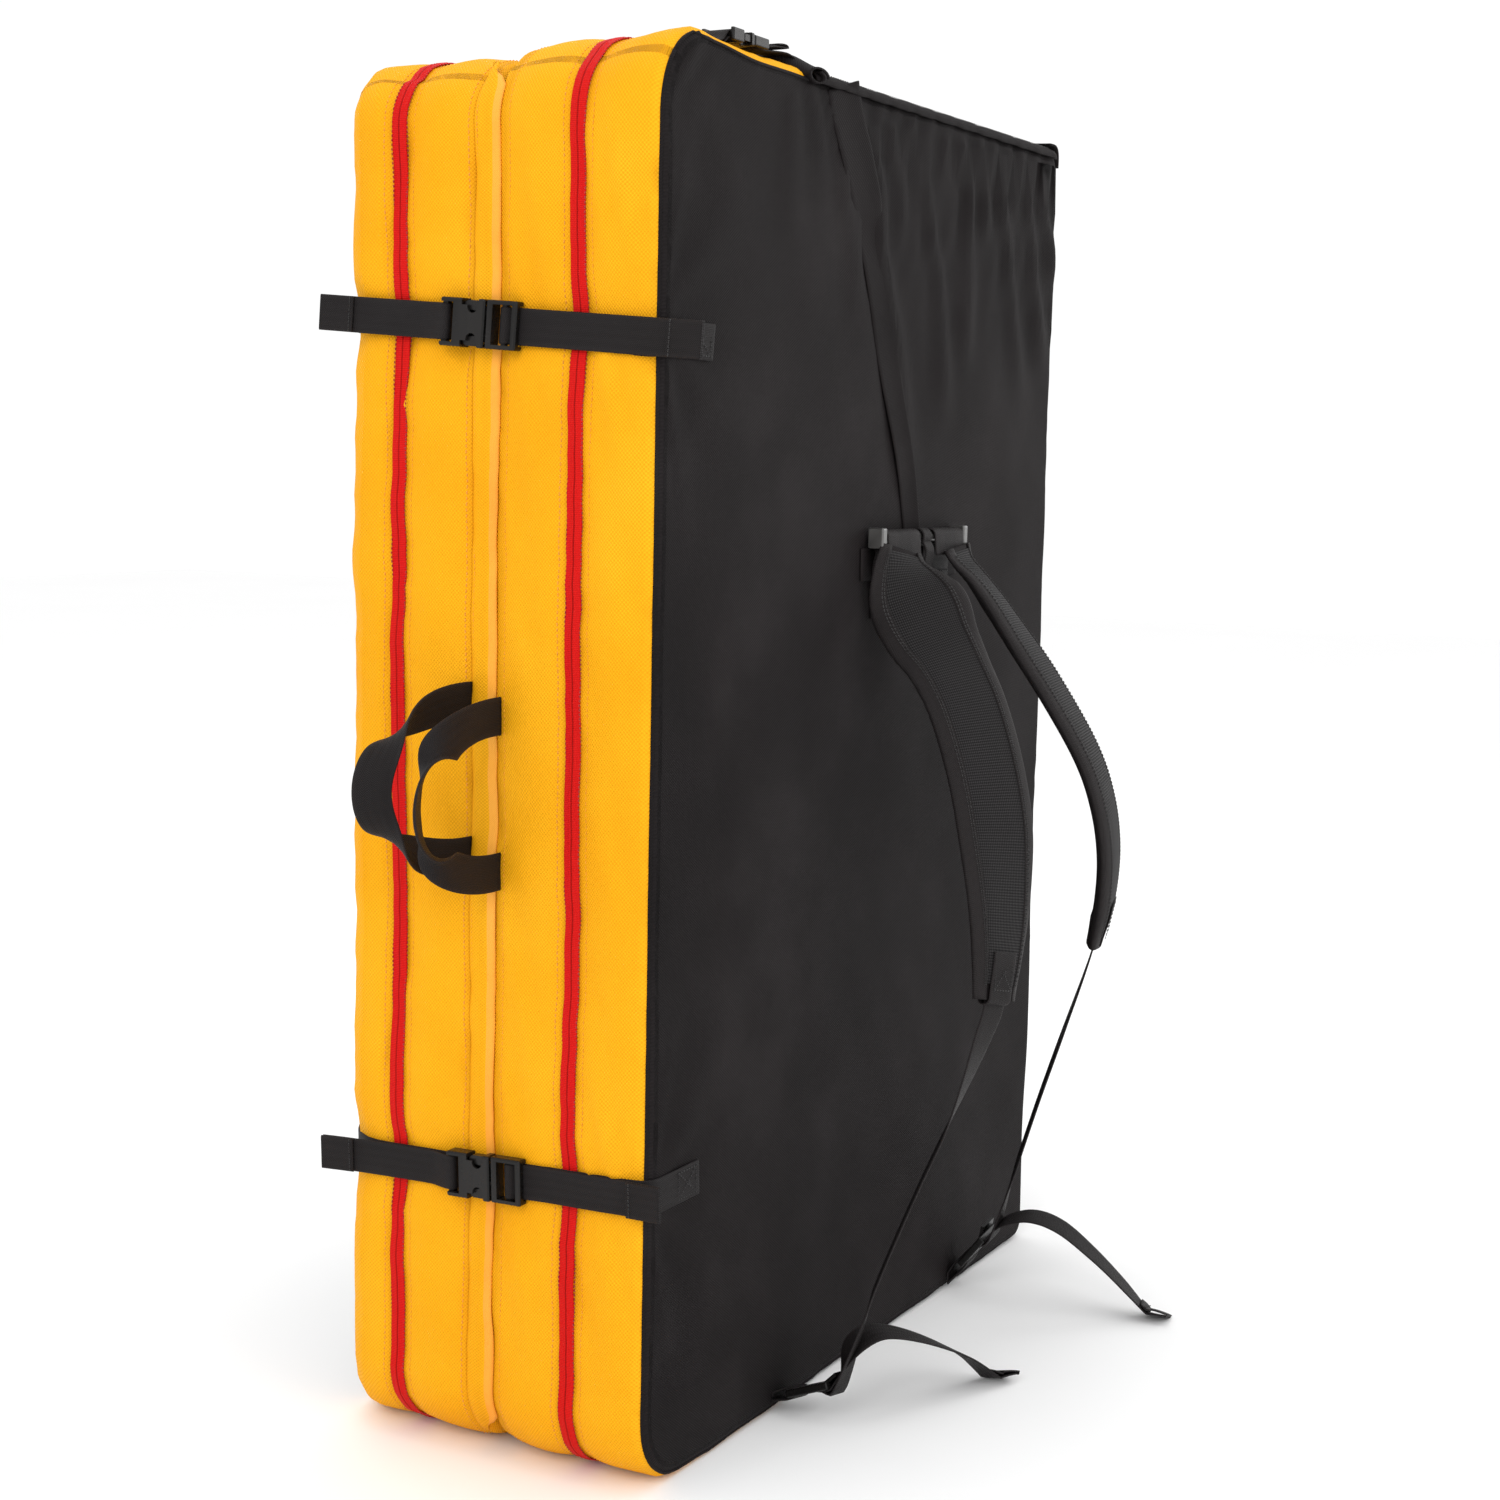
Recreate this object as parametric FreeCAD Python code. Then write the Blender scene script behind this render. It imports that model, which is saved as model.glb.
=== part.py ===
import FreeCAD, Part
import math
import os

# A folding bouldering crash pad, folded shut and standing on one end, in millimetres.
# +X points from the opening side to the fold, -Y is the face with the shoulder straps,
# +Z is up. The origin is on the ground, under the middle of the half that carries the straps.

V = FreeCAD.Vector

# ---- driving dimensions -------------------------------------------------------------------
height = 1000.0            # folded pad, end to end
opening_x = -340.0         # opening side
fold_x = 345.0             # fold axis
fold_clearance = 8.0       # spine side of each half to the fold axis
half_thick = 135.0         # one half, ground face to landing face
face_gap = 3.0             # landing face to the fold plane
carry_face_y = -68.0       # ground face that carries the shoulder straps
opening_corner_r = 55.0
spine_corner_r = 18.0
edge_round = 10.0
skin = 2.0                 # cover fabric
foam_clear = 0.5           # foam to cover
landing_foam_thick = 20.0
ground_foam_thick = 20.0
colour_change_x = -130.0   # yellow side band ahead of this, black behind it
zip_width = 12.0
zip_recess = 0.3
web = 25.0                 # webbing width
web_thick = 2.0
flap_web = 20.0            # webbing width of the flap strap

fold_y = carry_face_y + half_thick + face_gap
spine_x = fold_x - fold_clearance
zip_mid = 64.0             # ground face to the middle of the zip

os.makedirs("parts", exist_ok=True)


def save(node, *solids):
    shape = solids[0] if len(solids) == 1 else Part.makeCompound(list(solids))
    shape.exportStep("parts/" + node + ".step")


def box(x0, x1, y0, y1, z0, z1):
    return Part.makeBox(x1 - x0, y1 - y0, z1 - z0, V(x0, y0, z0))


def fused(*solids):
    shape = solids[0]
    for other in solids[1:]:
        shape = shape.fuse(other)
    return shape.removeSplitter()


def rounded_box(x0, x1, y0, y1, z0, z1, r):
    solid = box(x0, x1, y0, y1, z0, z1)
    return solid.makeFillet(r, solid.Edges)


def left_of(a, b):
    # Unit vector to the left of the run from a to b.
    length = math.hypot(b[0] - a[0], b[1] - a[1])
    return (-(b[1] - a[1]) / length, (b[0] - a[0]) / length)


def offset_points(points, out):
    # Points of a path in a plane, moved to its left by the distance out, with mitred corners.
    moved = []
    last = len(points) - 1
    for i, (u, v) in enumerate(points):
        before = left_of(points[max(i - 1, 0)], points[max(i, 1)])
        after = left_of(points[min(i, last - 1)], points[min(i + 1, last)])
        du = before[0] + after[0]
        dv = before[1] + after[1]
        scale = 2.0 * out / (du * du + dv * dv)
        moved.append((u + du * scale, v + dv * scale))
    return moved


def curve(points):
    spline = Part.BSplineCurve()
    spline.interpolate(points)
    return spline.toShape()


def ribbon(points, low, high, place, width):
    # A strip along a smooth path, between two sideways offsets of it. place turns a path
    # point (u, v) into a point in space, and width is the strip's width as a vector.
    inner = [place(u, v) - width * 0.5 for u, v in offset_points(points, low)]
    outer = [place(u, v) - width * 0.5 for u, v in offset_points(points, high)]
    edges = [
        curve(inner),
        Part.makeLine(inner[-1], outer[-1]),
        curve(outer),
        Part.makeLine(outer[0], inner[0]),
    ]
    face = Part.Face(Part.Wire(Part.__sortEdges__(edges)))
    return face.extrude(width)


def bent_strip(points, thick, place, width):
    # A strip along straight runs, thick towards the left of the path.
    other = offset_points(points, thick)
    ring = [place(u, v) - width * 0.5 for u, v in points + other[::-1]]
    face = Part.Face(Part.makePolygon(ring + [ring[0]]))
    return face.extrude(width)


# ---- the two padded halves ----------------------------------------------------------------
def outline(inset):
    # Outer shape of a half, seen along Y, as a wire at y = 0.
    x0 = opening_x + inset
    x1 = spine_x - inset
    z0 = inset
    z1 = height - inset
    ro = opening_corner_r - inset
    rs = spine_corner_r - inset
    k = math.sqrt(0.5)

    def corner(cx, cz, r, sx, sz):
        a = V(cx + sx * r, 0, cz)
        b = V(cx + sx * r * k, 0, cz + sz * r * k)
        c = V(cx, 0, cz + sz * r)
        return a, b, c

    low_open = corner(x0 + ro, z0 + ro, ro, -1, -1)
    top_open = corner(x0 + ro, z1 - ro, ro, -1, 1)
    top_spine = corner(x1 - rs, z1 - rs, rs, 1, 1)
    low_spine = corner(x1 - rs, z0 + rs, rs, 1, -1)
    edges = [
        Part.Arc(*low_open).toShape(),
        Part.makeLine(low_open[0], top_open[0]),
        Part.Arc(*top_open).toShape(),
        Part.makeLine(top_open[2], top_spine[2]),
        Part.Arc(*top_spine).toShape(),
        Part.makeLine(top_spine[0], low_spine[0]),
        Part.Arc(*low_spine).toShape(),
        Part.makeLine(low_spine[2], low_open[2]),
    ]
    return Part.Wire(Part.__sortEdges__(edges))


def envelope(y0, y1, inset, ground_at_y0):
    # A half's outer volume, inset evenly, with its ground-face edge rounded over.
    face = Part.Face(outline(inset))
    solid = face.extrude(V(0, y1 - y0 - 2 * inset, 0))
    solid.translate(V(0, y0 + inset, 0))
    ground_y = y0 + inset if ground_at_y0 else y1 - inset
    rim = [e for e in solid.Edges if abs(e.BoundBox.YMin - ground_y) < 0.01 and e.BoundBox.YLength < 0.01]
    return solid.makeFillet(edge_round - inset, rim)


def slab(y0, y1, x0=-500.0, x1=500.0):
    return box(x0, x1, y0, y1, -50, height + 50)


def make_half(name, y0, y1, ground_at_y0):
    away = 1.0 if ground_at_y0 else -1.0
    ground = y0 if ground_at_y0 else y1

    def between(a, b):
        # Y limits of a layer that starts a and ends b from the ground face.
        return sorted((ground + away * a, ground + away * b))

    cover = envelope(y0, y1, 0.0, ground_at_y0).cut(envelope(y0, y1, skin, ground_at_y0))
    save(name + "_ground_panel", cover.common(slab(*between(-1, skin))))
    save(name + "_landing_panel", cover.common(slab(*between(half_thick - skin, half_thick + 1))))
    zip_low = zip_mid - zip_width / 2
    zip_high = zip_mid + zip_width / 2
    front = (-500.0, colour_change_x)
    band_end = half_thick - skin
    save(name + "_outer_band", cover.common(slab(*between(skin, zip_low), *front)))
    save(name + "_inner_band", cover.common(slab(*between(zip_high, band_end), *front)))
    save(name + "_back_band", cover.common(slab(*between(skin, band_end), colour_change_x, 500.0)))
    zip_ring = envelope(y0, y1, zip_recess, ground_at_y0).cut(envelope(y0, y1, skin, ground_at_y0))
    save(name + "_zip", zip_ring.common(slab(*between(zip_low, zip_high), *front)))
    inside = envelope(y0, y1, skin + foam_clear, ground_at_y0)
    foam_end = half_thick - skin - foam_clear
    core_end = foam_end - landing_foam_thick
    save(name + "_ground_foam", inside.common(slab(*between(0, skin + foam_clear + ground_foam_thick))))
    save(name + "_core_foam", inside.common(slab(*between(skin + foam_clear + ground_foam_thick, core_end))))
    save(name + "_landing_foam", inside.common(slab(*between(core_end, half_thick))))


plain_face_y = fold_y + face_gap + half_thick
make_half("carry", carry_face_y, fold_y - face_gap, True)
make_half("plain", fold_y + face_gap, plain_face_y, False)

# Rolled fabric welt on the fold axis, with the seam allowance that joins it to the carry half.
welt_r = 4.0
welt_margin = 30.0
welt = Part.makeCylinder(welt_r, height - 2 * welt_margin, V(fold_x, fold_y, welt_margin))
seam_low_y = fold_y - face_gap
allowance = box(spine_x, fold_x, seam_low_y, seam_low_y + 2.0, welt_margin, height - welt_margin)
save("fold_welt", fused(welt, allowance))


# ---- zip sliders --------------------------------------------------------------------------
slider_x = -158.0
slider_len = 12.0
slider_wide = 9.0
slider_high = 5.0
pull_len = 26.0
pull_wide = 7.0
pull_thick = 1.6


def make_slider(node, y):
    z = height + 0.4
    x0 = slider_x - slider_len / 2
    body = rounded_box(x0, x0 + slider_len, y - slider_wide / 2, y + slider_wide / 2, z, z + slider_high, 1.2)
    bridge_z = z + slider_high - 2.4
    pull = box(x0 - pull_len, x0 + 4, y - pull_wide / 2, y + pull_wide / 2, bridge_z, bridge_z + pull_thick)
    eye = Part.makeCylinder(1.8, 10, V(x0 - pull_len + 4, y, bridge_z - 3))
    save(node, fused(body, pull.cut(eye)))


make_slider("carry_zip_slider", carry_face_y + zip_mid)
make_slider("plain_zip_slider", plain_face_y - zip_mid)


# ---- side-release buckles -----------------------------------------------------------------
# Local frame: t along the webbing from the socket's bar, s across, n out of the pad.
buckle_long = 63.0
buckle_half = 16.5
socket_long = 37.0
socket_bar = 4.0
slot_half = web / 2 + 1.0
cavity_half = 3.6
plug_bar_start = 49.5
plug_bar_end = 53.0
end_bar_start = 59.0
strap_gap = 0.4            # webbing to the bar it goes round


def buckle_parts():
    socket = rounded_box(0, socket_long, -buckle_half, buckle_half, -5.5, 5.5, 1.5)
    socket = socket.cut(box(socket_bar, 11, -slot_half, slot_half, -10, 10))
    socket = socket.cut(box(-1, 5, -slot_half, slot_half, 2.2, 10))
    socket = socket.cut(box(-1, 5, -slot_half, slot_half, -10, -2.2))
    socket = socket.cut(box(14, socket_long + 1, -slot_half, slot_half, -cavity_half, cavity_half))
    for sign in (-1, 1):
        window = box(18, 32, 12.0, buckle_half + 5, -10, 10)
        hole = Part.makeCylinder(4.2, 20, V(27, 11.0, -10))
        notch = window.fuse(hole)
        if sign < 0:
            notch = notch.mirror(V(0, 0, 0), V(0, 1, 0))
        socket = socket.cut(notch)
    frame = rounded_box(socket_long + 0.6, buckle_long, -buckle_half, buckle_half, -4.5, 4.5, 1.5)
    frame = frame.cut(box(43, plug_bar_start, -slot_half, slot_half, -10, 10))
    frame = frame.cut(box(plug_bar_end, end_bar_start, -slot_half, slot_half, -10, 10))
    frame = frame.cut(box(48, 54, -slot_half, slot_half, 1.8, 10))
    frame = frame.cut(box(48, 54, -slot_half, slot_half, -10, -1.8))
    frame = frame.cut(box(58, 70, -slot_half, slot_half, -10, 0.4))
    rib = box(16, socket_long + 2, -2.5, 2.5, -2.5, 2.5)
    plug = fused(frame, rib)
    stem = box(26, socket_long + 0.2, 8.6, 11.2, -2.8, 2.8)
    pad = box(21.5, 30.5, 9.0, 15.4, -2.8, 2.8)
    nose = Part.makeCylinder(2.9, 5.6, V(21.5, 12.1, -2.8))
    arm = fused(stem, pad, nose)
    other = arm.mirror(V(0, 0, 0), V(0, 1, 0))
    return socket, plug, arm, other


def placed(shape, origin, t_dir, s_dir, scale=1.0):
    # Puts a shape from the buckle frame into space.
    n_dir = t_dir.cross(s_dir)
    m = FreeCAD.Matrix(
        t_dir.x * scale, s_dir.x * scale, n_dir.x * scale, origin.x,
        t_dir.y * scale, s_dir.y * scale, n_dir.y * scale, origin.y,
        t_dir.z * scale, s_dir.z * scale, n_dir.z * scale, origin.z,
        0, 0, 0, 1,
    )
    return shape.transformGeometry(m)


def round_socket_bar(under, over):
    # Webbing path: in along the under run, round the socket's bar, out along the over run.
    lift = 2.2 + strap_gap
    far = socket_bar + strap_gap
    return under + [(-1, -lift), (far, -lift), (far, lift), (-2, lift)] + over


def round_plug_bars(under, over):
    # Webbing path: in along the under run, round the plug's middle bar, under its end bar.
    lift = 1.8 + strap_gap
    near = plug_bar_start - strap_gap
    far = plug_bar_end + strap_gap
    return under + [(near + 1, -lift), (near, -lift), (near, lift), (far, lift)] + over


# ---- closure straps on the opening side ---------------------------------------------------
hem_len = 26.0
buckle_lift = 7.0          # middle of the buckle to the side band
base_n = -4.6              # outer surface of the sewn webbing, in the buckle frame
tail_n = -4.2              # inner surface of the free tail


def closure_strap(name, mid_z, tilt_deg, socket_end_y, tail_reach):
    tilt = math.radians(tilt_deg)
    t_dir = V(0, -math.cos(tilt), -math.sin(tilt))
    s_dir = V(0, -math.sin(tilt), math.cos(tilt))
    start_z = mid_z + (socket_end_y - fold_y) * math.tan(tilt)
    origin = V(opening_x - buckle_lift, socket_end_y, start_z)
    socket, plug, arm, other = buckle_parts()
    save(name + "_socket", placed(socket, origin, t_dir, s_dir))
    save(name + "_plug", placed(plug, origin, t_dir, s_dir))
    save(name + "_arm_upper", placed(arm, origin, t_dir, s_dir))
    save(name + "_arm_lower", placed(other, origin, t_dir, s_dir))

    def put(t, n):
        return origin + t_dir * t + V(-1, 0, 0) * n

    width = s_dir * web
    # Plain side: sewn at the outer edge, round the socket's bar, then back as a free tail.
    sewn_t = -(plain_face_y - 6 - socket_end_y) / math.cos(tilt)
    end_t = -(plain_face_y + 1 - socket_end_y) / math.cos(tilt)
    path = round_socket_bar([(sewn_t, base_n), (-8, base_n)], [(-18, tail_n), (end_t, tail_n)])
    hem = [(end_t + hem_len, tail_n + 1.8), (end_t, tail_n + 1.8)]
    strip = bent_strip(path, -web_thick, put, width)
    save(name + "_plain_webbing", fused(strip, bent_strip(hem, -web_thick, put, width)))
    # Carry side: sewn at the outer edge, round the plug's bar, then on as a free tail.
    sewn_t = (socket_end_y - carry_face_y - 6) / math.cos(tilt)
    end_t = (socket_end_y - carry_face_y + tail_reach) / math.cos(tilt)
    over = [(57.5, -2.0), (64, -2.4), (80, tail_n), (end_t, tail_n)]
    path = round_plug_bars([(sewn_t, base_n), (60, base_n)], over)
    hem = [(end_t - hem_len, tail_n + 1.8), (end_t, tail_n + 1.8)]
    strip = bent_strip(path, web_thick, put, width)
    save(name + "_carry_webbing", fused(strip, bent_strip(hem, web_thick, put, width)))


closure_strap("upper_closure", 809.0, 4.0, fold_y + 33.0, 36.0)
closure_strap("lower_closure", 213.0, -1.9, fold_y + 24.0, 14.0)


# ---- carry handles ------------------------------------------------------------------------
handle_span = 109.0        # between the sewn ends
handle_reach = 98.0
handle_thick = 2.5
handle_tab = 32.0          # upright stretch at each sewn end, before the webbing turns flat


def handle(node, y, z_mid, lean_deg):
    lean = math.radians(lean_deg)
    out_dir = V(-math.cos(lean), math.sin(lean), 0)
    across = V(math.sin(lean), math.cos(lean), 0)
    r = handle_span / 2
    start = V(opening_x - 1.8, y, z_mid)

    def put(u, v):
        return start + out_dir * u + V(0, 0, v)

    inner = r - handle_thick / 2
    outer = r + handle_thick / 2
    bend = handle_reach - r
    half = across * (web * 0.5)

    def half_turn(radius):
        arc = Part.Arc(put(bend, radius), put(bend + radius, 0), put(bend, -radius))
        arc_edge = arc.toShape()
        arc_edge.translate(half * -1)
        return arc_edge

    def run(u0, v0, u1, v1):
        return Part.makeLine(put(u0, v0) - half, put(u1, v1) - half)

    edges = [
        half_turn(outer),
        run(bend, -outer, 0, -outer),
        run(0, -outer, 0, -inner),
        run(0, -inner, bend, -inner),
        half_turn(inner),
        run(bend, inner, 0, inner),
        run(0, inner, 0, outer),
        run(0, outer, bend, outer),
    ]
    face = Part.Face(Part.Wire(Part.__sortEdges__(edges)))
    band = face.extrude(across * web)

    def plan(u, w):
        return start + out_dir * u + across * w - V(0, 0, height / 2)

    # The band narrows towards its ends, where the webbing has turned upright.
    narrow = handle_thick / 2
    wide = web / 2 + 1
    full = handle_tab + 6
    far = handle_reach + 10
    corners = [(0, -narrow), (full, -wide), (far, -wide), (far, wide), (full, wide), (0, narrow)]
    ring = [plan(u, w) for u, w in corners]
    mask = Part.Face(Part.makePolygon(ring + [ring[0]])).extrude(V(0, 0, height))
    pieces = [band.common(mask)]
    for v in (r, -r):
        low = put(0, v - web / 2) - across * narrow
        ring = [low, low + out_dir * handle_tab, low + out_dir * handle_tab + across * handle_thick]
        ring.append(low + across * handle_thick)
        tab = Part.Face(Part.makePolygon(ring + [ring[0]])).extrude(V(0, 0, web))
        pieces.append(tab)
    save(node, fused(*pieces))


handle("carry_handle", fold_y - 14.0, 487.0, -2.0)
handle("plain_handle", fold_y + 15.0, 496.0, 5.0)


# ---- storage flap over the top ------------------------------------------------------------
flap_axis_z = height + 10.0
flap_front_x = -136.0
flap_low_y = carry_face_y + 3.0
flap_high_y = plain_face_y - 18.0
flap_strap_y = carry_face_y + 22.0
hem_r = 6.0
flap_hinge_x = spine_x - 4.0

sheet_x1 = flap_hinge_x - 2.0
sheet = box(flap_front_x, sheet_x1, flap_low_y, flap_high_y, flap_axis_z - 1.2, flap_axis_z + 1.2)
roll = Part.makeCylinder(hem_r, flap_high_y - flap_low_y, V(flap_front_x, flap_low_y, flap_axis_z), V(0, 1, 0))
save("storage_flap", fused(sheet, roll))

# The seam allowance that holds the flap to the carry half, just ahead of its fold line.
root_high_y = fold_y - face_gap - 2.0
root_top = flap_axis_z - 2.0
save("flap_root", box(flap_hinge_x, flap_hinge_x + 3.0, flap_low_y, root_high_y, height, root_top))

flap_scale = 0.8
flap_buckle_x = -238.0
flap_origin = V(flap_buckle_x, flap_strap_y, flap_axis_z)
flap_dirs = (V(1, 0, 0), V(0, 1, 0))
socket, plug, arm, other = buckle_parts()
save("flap_socket", placed(socket, flap_origin, *flap_dirs, flap_scale))
save("flap_plug", placed(plug, flap_origin, *flap_dirs, flap_scale))
save("flap_arm_outer", placed(other, flap_origin, *flap_dirs, flap_scale))
save("flap_arm_inner", placed(arm, flap_origin, *flap_dirs, flap_scale))


def above(t, n):
    return flap_origin + V(t, 0, n) * flap_scale


flap_width = V(0, flap_web, 0)
flap_web_thick = 1.6 / flap_scale
sewn_n = (height + 0.2 - flap_axis_z) / flap_scale + flap_web_thick
anchor_path = round_socket_bar(
    [(-22, sewn_n), (-14, sewn_n)],
    [(-17, sewn_n + 0.4), (-22, sewn_n + 0.4)],
)
save("flap_anchor_webbing", bent_strip(anchor_path, -flap_web_thick, above, flap_width))
roll_t = (flap_front_x - hem_r - 0.3 - flap_buckle_x) / flap_scale
strap_path = round_plug_bars(
    [(roll_t, -1.0), (98, 0.4), (80, -1.0), (60, -3.6)],
    [(57.5, -2.4), (66, -2.2), (84, 2.2), (104, 3.6)],
)
save("flap_strap", bent_strip(strap_path, flap_web_thick, above, flap_width))


# ---- shoulder straps ----------------------------------------------------------------------
root_z = 655.0             # where the straps leave the anchor bar
foot_z = 10.0
right_root_x = -6.0
left_root_x = 96.0
right_foot_x = -145.0
left_foot_x = 175.0
pad_wide = 66.0
right_splay_deg = -25.0    # turn of each pad about its length
left_splay_deg = 13.0
lining_thick = 1.4
strap_foam_thick = 9.0
cover_thick = 1.4
lock_long = 36.0

# Paths of the straps, which hang bowed: distance down from the root, and out from the face.
right_pad = [(30, 25), (65, 46), (90, 63), (119, 82), (158, 100), (199, 114), (240, 123), (283, 129), (338, 132)]
right_run = [(341, 131), (367, 127), (397, 119), (436, 107), (489, 88), (560, 65)]
right_end = [(562, 64.5), (590, 58), (617, 53)]
right_lock_top = (641, 47)
left_pad = [(30, 34), (65, 58), (113, 92), (165, 123), (205, 137), (245, 142), (285, 139), (323, 130)]
left_run = [(326, 129), (358, 119), (405, 102), (475, 77), (550, 52)]
left_end = [(552, 51.3), (568, 46.5), (583, 42.5)]
left_lock_top = (603, 36)

bar_x0 = -31.0
bar_x1 = 120.0
bar_z = 663.0
bar_r = 4.0
bar_y = carry_face_y - 9.0
bar = Part.makeCylinder(bar_r, bar_x1 - bar_x0, V(bar_x0, bar_y, bar_z), V(1, 0, 0))
nubs = [
    rounded_box(x - 4, x + 4, bar_y - 6, carry_face_y - 1.6, bar_z - 8, bar_z + 8, 1.5)
    for x in (bar_x0, bar_x1)
]
save("anchor_bar", fused(bar, *nubs))

strip_front_y = carry_face_y - 1.4
strip_back_y = carry_face_y - 0.2
patch = box(bar_x0 - 12, bar_x1 + 12, strip_front_y, strip_back_y, 632, 652)
corners = [(31, 640), (59, 640), (-38, 880), (-66, 975), (-112, 975), (-72, 880)]
ring = [V(x, strip_front_y, z) for x, z in corners]
strip = Part.Face(Part.makePolygon(ring + [ring[0]])).extrude(V(0, strip_back_y - strip_front_y, 0))
save("load_strip", fused(patch, strip))


def root_wrap(x, wide):
    # Webbing round the anchor bar, with one leg out to where the padded strap starts.
    ring_r = bar_r + 0.4
    ring = Part.makeCylinder(ring_r + web_thick, wide, V(x - wide / 2, bar_y, bar_z), V(1, 0, 0))
    hole = Part.makeCylinder(ring_r, wide + 4, V(x - wide / 2 - 2, bar_y, bar_z), V(1, 0, 0))

    def put(u, v):
        return V(x, carry_face_y - v, root_z - u)

    leg = bent_strip([(-5.5, 13.6), (8, 17), (16, 22)], web_thick, put, V(wide, 0, 0))
    return fused(ring, leg).cut(hole)


save("strap_root_wraps", root_wrap(right_root_x + 9, 58), root_wrap(left_root_x - 9, 54))


def lock_shape():
    # Ladder lock in its own frame: t towards the strap, s across, n outwards.
    frame = rounded_box(0, lock_long, -buckle_half, buckle_half, -3.0, 3.0, 1.2)
    frame = frame.cut(box(4, 9.5, -slot_half, slot_half, -9, 9))
    frame = frame.cut(box(14, 19, -slot_half, slot_half, -9, 9))
    frame = frame.cut(box(23, 28, -slot_half, slot_half, -9, 9))
    tab = box(31, 44, -11, 11, 0.5, 3.2)
    tab.rotate(V(32, 0, 1), V(0, 1, 0), -25)
    return fused(frame, tab)


def shoulder_strap(name, root_x, foot_x, splay, pad_path, run, end, lock_top, tail_dir, tail_path):
    root = V(root_x, carry_face_y, root_z)
    foot = V(foot_x, carry_face_y, foot_z)
    down = foot - root
    down.normalize()
    out = V(0, -1, 0)
    across = down.cross(out)
    turn = math.radians(splay)
    splayed = across * math.cos(turn) + out * math.sin(turn)

    def put(s, h):
        return root + down * s + out * h

    wide = splayed * pad_wide
    foam_low = lining_thick + 0.1
    foam_high = foam_low + strap_foam_thick
    cover_low = foam_high + 0.1
    save(name + "_strap_lining", ribbon(pad_path, 0, lining_thick, put, wide))
    save(name + "_strap_foam", ribbon(pad_path, foam_low, foam_high, put, splayed * (pad_wide - 4)))
    save(name + "_strap_cover", ribbon(pad_path, cover_low, cover_low + cover_thick, put, wide))
    thin_low = foam_low + (strap_foam_thick - web_thick) / 2
    thin_high = thin_low + web_thick
    save(name + "_adjuster", ribbon(run, thin_low, thin_high, put, across * web))

    # Ladder lock, held by a webbing loop at the bottom edge, in line with the adjuster.
    top = put(*lock_top)
    pull = top - foot
    pull.normalize()
    normal = across.cross(pull)
    lock_start = top - pull * lock_long
    save(name + "_ladder_lock", placed(lock_shape(), lock_start, pull, normal.cross(pull)))

    def loop_put(u, v):
        return foot + pull * u + normal * v

    reach = (lock_start - foot).Length + 4.5
    loop_path = [(0, -3.0), (reach - 6, -4.4), (reach, -4.4), (reach, 4.4), (reach - 6, 4.4), (0, 3.0)]
    loop = bent_strip(loop_path, -1.6, loop_put, across * web)
    save(name + "_lower_loop", loop.cut(slab(carry_face_y - 0.2, carry_face_y + 40)))

    # Free end: the last stretch above the lock, then the loose tail down to the ground.
    flat = V(tail_dir[0], tail_dir[1], 0)
    flat.normalize()
    sideways = V(-flat.y, flat.x, 0)
    start = V(top.x, top.y, 0) + flat * 3.0

    def tail_put(u, v):
        return start + flat * u + V(0, 0, v)

    hanging = ribbon(tail_path, 0, web_thick, tail_put, sideways * web)
    folded = rounded_box(0, 26, -web / 2, web / 2, 0, 6, 1.4)
    tail_end = tail_path[-1]
    folded = placed(folded, tail_put(tail_end[0] - 3.0, 0.4), flat, sideways)
    upper = ribbon(end, thin_low, thin_high, put, across * web)
    save(name + "_tail", upper, fused(hanging, folded))


right_tail_path = [(0, 38), (9, 51), (26, 61), (47, 59), (81, 46), (118, 26), (146, 5)]
left_tail_path = [(0, 59), (10, 67), (34, 75), (60, 69), (88, 50), (114, 28), (140, 5)]
shoulder_strap(
    "right", right_root_x, right_foot_x, right_splay_deg,
    right_pad, right_run, right_end, right_lock_top, (137, -77), right_tail_path,
)
shoulder_strap(
    "left", left_root_x, left_foot_x, left_splay_deg,
    left_pad, left_run, left_end, left_lock_top, (22, -150), left_tail_path,
)
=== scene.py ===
import math

import bpy
import numpy as np
from mathutils import Matrix, Vector


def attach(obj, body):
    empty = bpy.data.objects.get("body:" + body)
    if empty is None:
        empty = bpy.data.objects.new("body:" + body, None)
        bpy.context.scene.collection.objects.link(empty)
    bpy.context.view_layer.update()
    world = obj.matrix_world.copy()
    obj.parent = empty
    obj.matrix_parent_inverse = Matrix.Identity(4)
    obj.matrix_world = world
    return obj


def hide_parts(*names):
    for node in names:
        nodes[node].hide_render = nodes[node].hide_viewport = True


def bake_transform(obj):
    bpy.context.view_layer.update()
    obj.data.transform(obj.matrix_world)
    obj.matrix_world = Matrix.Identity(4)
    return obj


# A folded bouldering crash pad standing on one end. Lengths here are in millimetres and are
# turned into metres where meshes are made. +X points from the opening side to the fold,
# -Y is the face with the shoulder straps, +Z is up.

MM = 0.001
TAU = 2.0 * math.pi


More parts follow.
